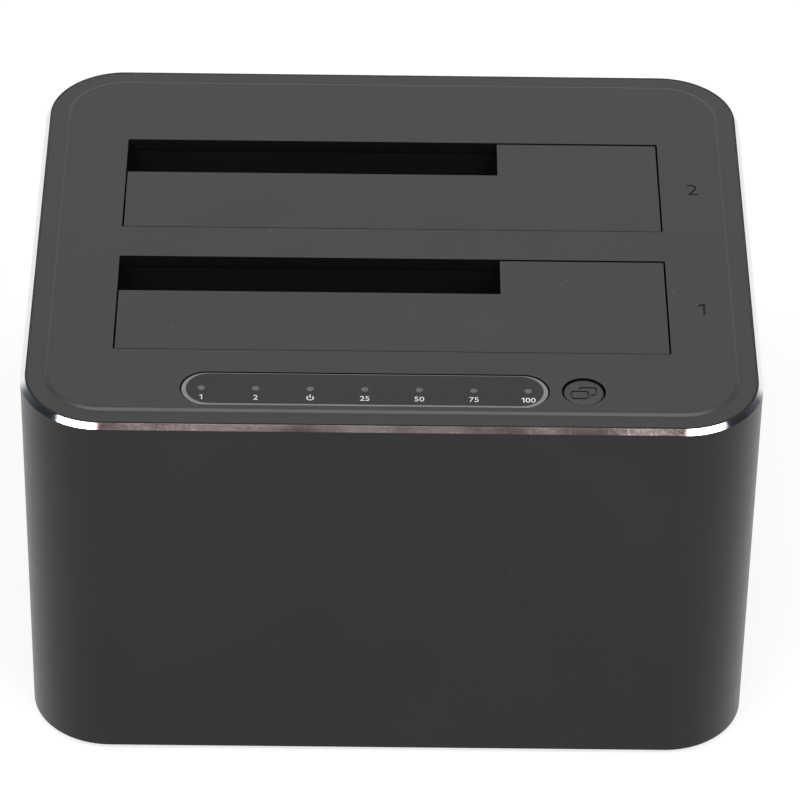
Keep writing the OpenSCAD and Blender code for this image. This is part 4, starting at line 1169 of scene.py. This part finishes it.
class DOCK_OT_springs(Operator):
    """Parts each flap spring beyond its coil, so that the leg under the flap goes with the flap"""

    bl_idname = "dock.springs"
    bl_label = "Springs"

    def execute(self, context):
        for flap, hinge in HINGES.items():
            node = flap + "_spring"
            split = (0, hinge.y + context.scene.dock_sizes.leg_root, 0)
            for part, body, stands_for in (("coil", "housing", [node]), ("leg", flap, [])):
                piece = softened_copy(node, f"{node}_{part}", 0)
                select_whole()
                bpy.ops.mesh.bisect(plane_co=split, plane_no=(0, 1, 0), use_fill=True,
                                    clear_outer=part == "coil", clear_inner=part == "leg")
                dress(piece, body, "spring_steel", *stands_for)
        return {"FINISHED"}


class DOCK_OT_indicators(Operator):
    """Makes the smoked window with its bevel and lamp holes, and prints the numbers under the lamps"""

    bl_idname = "dock.indicators"
    bl_label = "Indicators"

    def execute(self, context):
        s = context.scene.dock_sizes
        low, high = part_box("indicator_window")
        gap = Vector((s.window_end_gap, s.window_side_gap, 0))
        low, high = low + gap, high - gap
        top = high.z - s.window_sink
        shoulder = top - s.window_slope
        piece = rounded_block("smoked_window", low, (high.x, high.y, shoulder),
                              (high.y - low.y) / 2 * 0.9999)
        pick_cap(piece, shoulder)
        step_in(s.window_border, s.window_slope)
        inner = (high.x - low.x) / 2 - s.window_border
        bpy.ops.transform.resize(value=(1 - s.window_crescent / inner, 1, 1),
                                 center_override=(low + high) / 2)
        fresh()
        lamps = self.lamps()
        through = high.z - low.z + 2 * LAP
        combine(piece, [add_cylinder("lamp_hole", (x, y, low.z - LAP), LAMP_RADIUS, through, sides=32)
                        for x, y in lamps], "DIFFERENCE")
        soften(piece, s.cut_edge)
        dress(piece, "housing", "smoked_acrylic", "indicator_window")

        def on_border(face):
            near = min((face.center.xy - Vector(lamp)).length for lamp in lamps) - LAMP_RADIUS
            sloped = face.center.z > shoulder - s.cut_edge and face.normal.z < 0.9998
            return near > s.cut_edge * 2 and sloped

        # The sloped border takes a light finish as a painted highlight
        face_finish(piece, material("window_edge"), on_border)
        self.print_labels(s, lamps, top)
        return {"FINISHED"}

    def lamps(self):
        """Middle of each lamp hole, from the row of lamps on the board."""
        low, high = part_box("status_leds")
        step = (high.x - low.x - 2 * LAMP_HALF) / (len(LAMP_LABELS) - 1)
        return [(low.x + LAMP_HALF + i * step, (low.y + high.y) / 2) for i in range(len(LAMP_LABELS))]

    def print_labels(self, s, lamps, top):
        """Plain numbers and a power sign, as thin print on the window's face."""
        printed = []
        for word, (x, y) in zip(LAMP_LABELS, lamps):
            centre = (x, y - s.label_drop, top + s.ink / 2)
            printed.append(lettering("label", word, centre, s.label_height, s.ink) if word
                           else self.power_sign(s, centre))
        labels = fuse("lamp_labels", printed)
        labels.data.materials.clear()
        labels.data.materials.append(material("label_ink"))
        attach(labels, "housing")

    def power_sign(self, s, centre):
        """An open ring with a bar in its gap."""
        centre = Vector(centre)
        line = s.label_height * SIGN_LINE
        radius = s.label_height * SIGN_RADIUS
        ring = turned("sign_ring", centre - Vector((0, 0, s.ink / 2)),
                      [(0, 0), (radius, 0), (radius, s.ink), (0, s.ink)], steps=32)
        hole = add_cylinder("sign_hole", centre - Vector((0, 0, s.ink)), radius - line, 2 * s.ink, sides=32)
        gap = add_block("sign_gap", centre + Vector((-SIGN_GAP * line, 0, -s.ink)),
                        centre + Vector((SIGN_GAP * line, 2 * radius, s.ink)))
        combine(ring, [hole, gap], "DIFFERENCE")
        bar = add_block("sign_bar", centre + Vector((-line / 2, 0, -s.ink / 2)),
                        centre + Vector((line / 2, radius * SIGN_BAR, s.ink / 2)))
        return fuse("sign", [ring, bar])


class DOCK_OT_clone_button(Operator):
    """Turns the clone button with its dished face and a sign of two overlapping sheets"""

    bl_idname = "dock.clone_button"
    bl_label = "Clone button"

    def execute(self, context):
        s = context.scene.dock_sizes
        low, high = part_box("clone_button")
        centre = Vector(((low.x + high.x) / 2, (low.y + high.y) / 2, 0))
        seat = SLEEVE_HIGH.z - s.panel_thickness - FLANGE_PLAY
        under = seat - FLANGE
        r, rim = s.button_radius - s.window_side_gap, (high.x - low.x) / 2
        edge, face = BUTTON_EDGE, high.z - s.button_dish
        profile = [(0, low.z), (BUTTON_NECK, low.z), (BUTTON_NECK, under), (rim, under), (rim, seat),
                   (r, seat), (r, high.z - edge), (r - edge * 0.3, high.z - edge * 0.3), (r - edge, high.z),
                   (r - edge * 1.5, high.z), (r - edge * 2.5, face), (0, face)]
        piece = turned("clone_cap", centre, profile)
        combine(piece, self.sheets(s, centre + Vector((0, 0, face))), "DIFFERENCE")
        soften(piece, 0)
        dress(piece, "clone_button", "button_plastic", "clone_button")
        face_finish(piece, material("black_plastic"), uncoated)
        return {"FINISHED"}

    def sheets(self, s, centre):
        """Cutters for two overlapping rounded sheets, drawn as grooves."""
        shift = Vector((s.sheet_width, s.sheet_height, 0)) * SHEET_SHIFT
        front = self.sheet_outline(s, centre - shift)
        back = self.sheet_outline(s, centre + shift)
        line = s.sheet_line
        reach = Vector((s.sheet_width / 2 + line, s.sheet_height / 2 + line, 3 * line))
        cover = rounded_block("cover", centre - shift - reach, centre - shift + reach, 2 * line, 6)
        fresh()
        combine(back, [cover], "DIFFERENCE")
        return [front, back]

    def sheet_outline(self, s, centre):
        half = Vector((s.sheet_width / 2, s.sheet_height / 2, s.sheet_line))
        slim = half - Vector((s.sheet_line, s.sheet_line, -s.sheet_line))
        outline = rounded_block("sheet", centre - half, centre + half, 2 * s.sheet_line, 6)
        inner = rounded_block("sheet_inner", centre - slim, centre + slim, s.sheet_line, 6)
        fresh()
        combine(outline, [inner], "DIFFERENCE")
        return outline


class DOCK_OT_base(Operator):
    """Finishes the underside: softened base plate, cross-recessed screws and turned rubber feet"""

    bl_idname = "dock.base"
    bl_label = "Base"

    def execute(self, context):
        s = context.scene.dock_sizes
        cover = softened_copy("base_plate", "base_cover", s.soft_edge)
        dress(cover, "housing", "cradle_plastic", "base_plate")
        self.add_feet()
        self.add_screws(s)
        return {"FINISHED"}

    def add_feet(self):
        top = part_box("feet")[1].z
        radius, edge = FOOT_RADIUS, FOOT_EDGE
        spots = corners_of("feet", radius)
        profile = [(0, FOOT_HOLLOW), (radius * 0.55, FOOT_HOLLOW), (radius * 0.6, 0), (radius - edge, 0),
                   (radius - edge * 0.3, edge * 0.3), (radius, edge), (radius, top), (0, top)]
        first = turned("foot_1", (*spots[0], 0), profile)
        soften(first, 0)
        set_out(first, "foot", spots, "foot_rubber", "feet")

    def add_screws(self, s):
        low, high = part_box("base_screws")
        r, shank = s.head_radius, s.screw_radius
        spots = corners_of("base_screws", r)
        dome = ((0, 0), (0.55, 0), (0.85, 0.12), (0.97, 0.4), (1, 0.7), (1, 1))
        profile = [(r * out, low.z + HEAD_HEIGHT * up) for out, up in dome]
        profile += [(shank, low.z + HEAD_HEIGHT), (shank, high.z - TIP_HEIGHT),
                    (shank * 0.4, high.z), (0, high.z)]
        first = turned("base_screw_1", (*spots[0], 0), profile, steps=32)
        middle = Vector((*spots[0], low.z))
        arms = ((CROSS_REACH, CROSS_LINE), (CROSS_LINE, CROSS_REACH))
        halves = [Vector((*arm, CROSS_DEPTH)) for arm in arms]
        combine(first, [add_block("cross", middle - half, middle + half) for half in halves], "DIFFERENCE")
        soften(first, s.cut_edge)
        set_out(first, "base_screw", spots, "plain_steel", "base_screws")


class DOCK_OT_ports(Operator):
    """Finishes the sockets at the back: USB shell and contacts, power inlet and power button"""

    bl_idname = "dock.ports"
    bl_label = "Ports"

    def execute(self, context):
        s = context.scene.dock_sizes
        for node, name, slot, width in (("usb_shell", "usb_shell_folded", "plated_shell", SHELL_EDGE),
                                        ("dc_jack", "power_inlet", "socket_plastic", s.soft_edge)):
            dress(softened_copy(node, name, width), "housing", slot, node)
        self.add_usb_contacts()
        self.add_power_button()
        return {"FINISHED"}

    def add_usb_contacts(self):
        """Gilt strips on the upper and lower faces of the socket's tongue."""
        low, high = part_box("usb_insert")
        middle = (low.x + high.x) / 2
        mouth = high.y + INSERT_DEPTH
        nose, root = mouth - STRIP_NOSE, mouth - STRIP_ROOT
        strips = []
        for count, pitch, rise, wide in STRIP_ROWS:
            z = low.z + rise
            for i in range(count):
                x = middle + (i - (count - 1) / 2) * pitch
                strip = add_block("contact", (x - wide / 2, root, z - STRIP_SUNK),
                                  (x + wide / 2, nose, z + STRIP_PROUD))
                round_edges(strip, lambda e: is_along("X")(e) and e.verts[0].co.y > nose - LAP,
                            STRIP_EDGE, 3)
                fresh()
                strips.append(strip)
        contacts = fuse("usb_contacts", strips)
        soften(contacts, 0)
        dress(contacts, "housing", "gilt_contacts")

    def add_power_button(self):
        low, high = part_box("power_button")
        radius = (high.x - low.x) / 2
        start = Vector(((low.x + high.x) / 2, low.y + CAP_ROOT, (low.z + high.z) / 2))
        run = high.y - start.y
        edge, dish, half = CAP_EDGE, CAP_DISH, STEM_HALF
        profile = [(0, 0), (radius, 0), (radius, run - edge), (radius - edge * 0.3, run - edge * 0.3),
                   (radius - edge, run), (radius - 2 * edge, run), (radius * 0.6, run - dish * 0.8),
                   (radius * 0.3, run - dish), (0, run - dish)]
        piece = turned("power_cap", start, profile, axis=(0, 1, 0))
        stem = add_block("stem", (start.x - half, low.y, start.z - half),
                         (start.x + half, start.y + LAP, start.z + half))
        combine(piece, [stem], "UNION")
        soften(piece, 0)
        dress(piece, "power_button", "power_cap", "power_button")


class DOCK_OT_inner_parts(Operator):
    """Gives every frame node that still shows the finish of its material slot"""

    bl_idname = "dock.inner_parts"
    bl_label = "Inner parts"

    def execute(self, context):
        for name, node in frame["nodes"].items():
            if not node.hide_render:
                node.data.materials.clear()
                node.data.materials.append(material(SLOT_OF[name]))
        return {"FINISHED"}


class DOCK_PT_sidebar(Panel):
    """Lists the pieces with the sizes and colours that they take"""

    bl_label = "Docking station"
    bl_space_type = "VIEW_3D"
    bl_region_type = "UI"
    bl_category = "Dock"

    def draw(self, context):
        for group in (context.scene.dock_stage, context.scene.dock_sizes, context.scene.dock_finish):
            box = self.layout.box()
            for label in group.__annotations__:
                box.prop(group, label)
        for step in STEPS:
            self.layout.operator(step.bl_idname)


STEPS = (DOCK_OT_stage, DOCK_OT_sleeve, DOCK_OT_top_panel, DOCK_OT_flaps, DOCK_OT_springs,
         DOCK_OT_indicators, DOCK_OT_clone_button, DOCK_OT_base, DOCK_OT_ports, DOCK_OT_inner_parts)
GROUPS = {"dock_sizes": DockSizes, "dock_finish": DockFinish, "dock_stage": DockStage}


def register():
    for kind in (*GROUPS.values(), *STEPS, DOCK_PT_sidebar):
        bpy.utils.register_class(kind)
    for label, kind in GROUPS.items():
        setattr(bpy.types.Scene, label, PointerProperty(type=kind))


def unregister():
    for label in GROUPS:
        delattr(bpy.types.Scene, label)
    for kind in (DOCK_PT_sidebar, *reversed(STEPS), *GROUPS.values()):
        bpy.utils.unregister_class(kind)


def main():
    register()
    bpy.ops.dock.stage()
    bpy.ops.dock.sleeve()
    bpy.ops.dock.top_panel()
    bpy.ops.dock.flaps()
    bpy.ops.dock.springs()
    bpy.ops.dock.indicators()
    bpy.ops.dock.clone_button()
    bpy.ops.dock.base()
    bpy.ops.dock.ports()
    bpy.ops.dock.inner_parts()


if __name__ == "__main__":
    main()
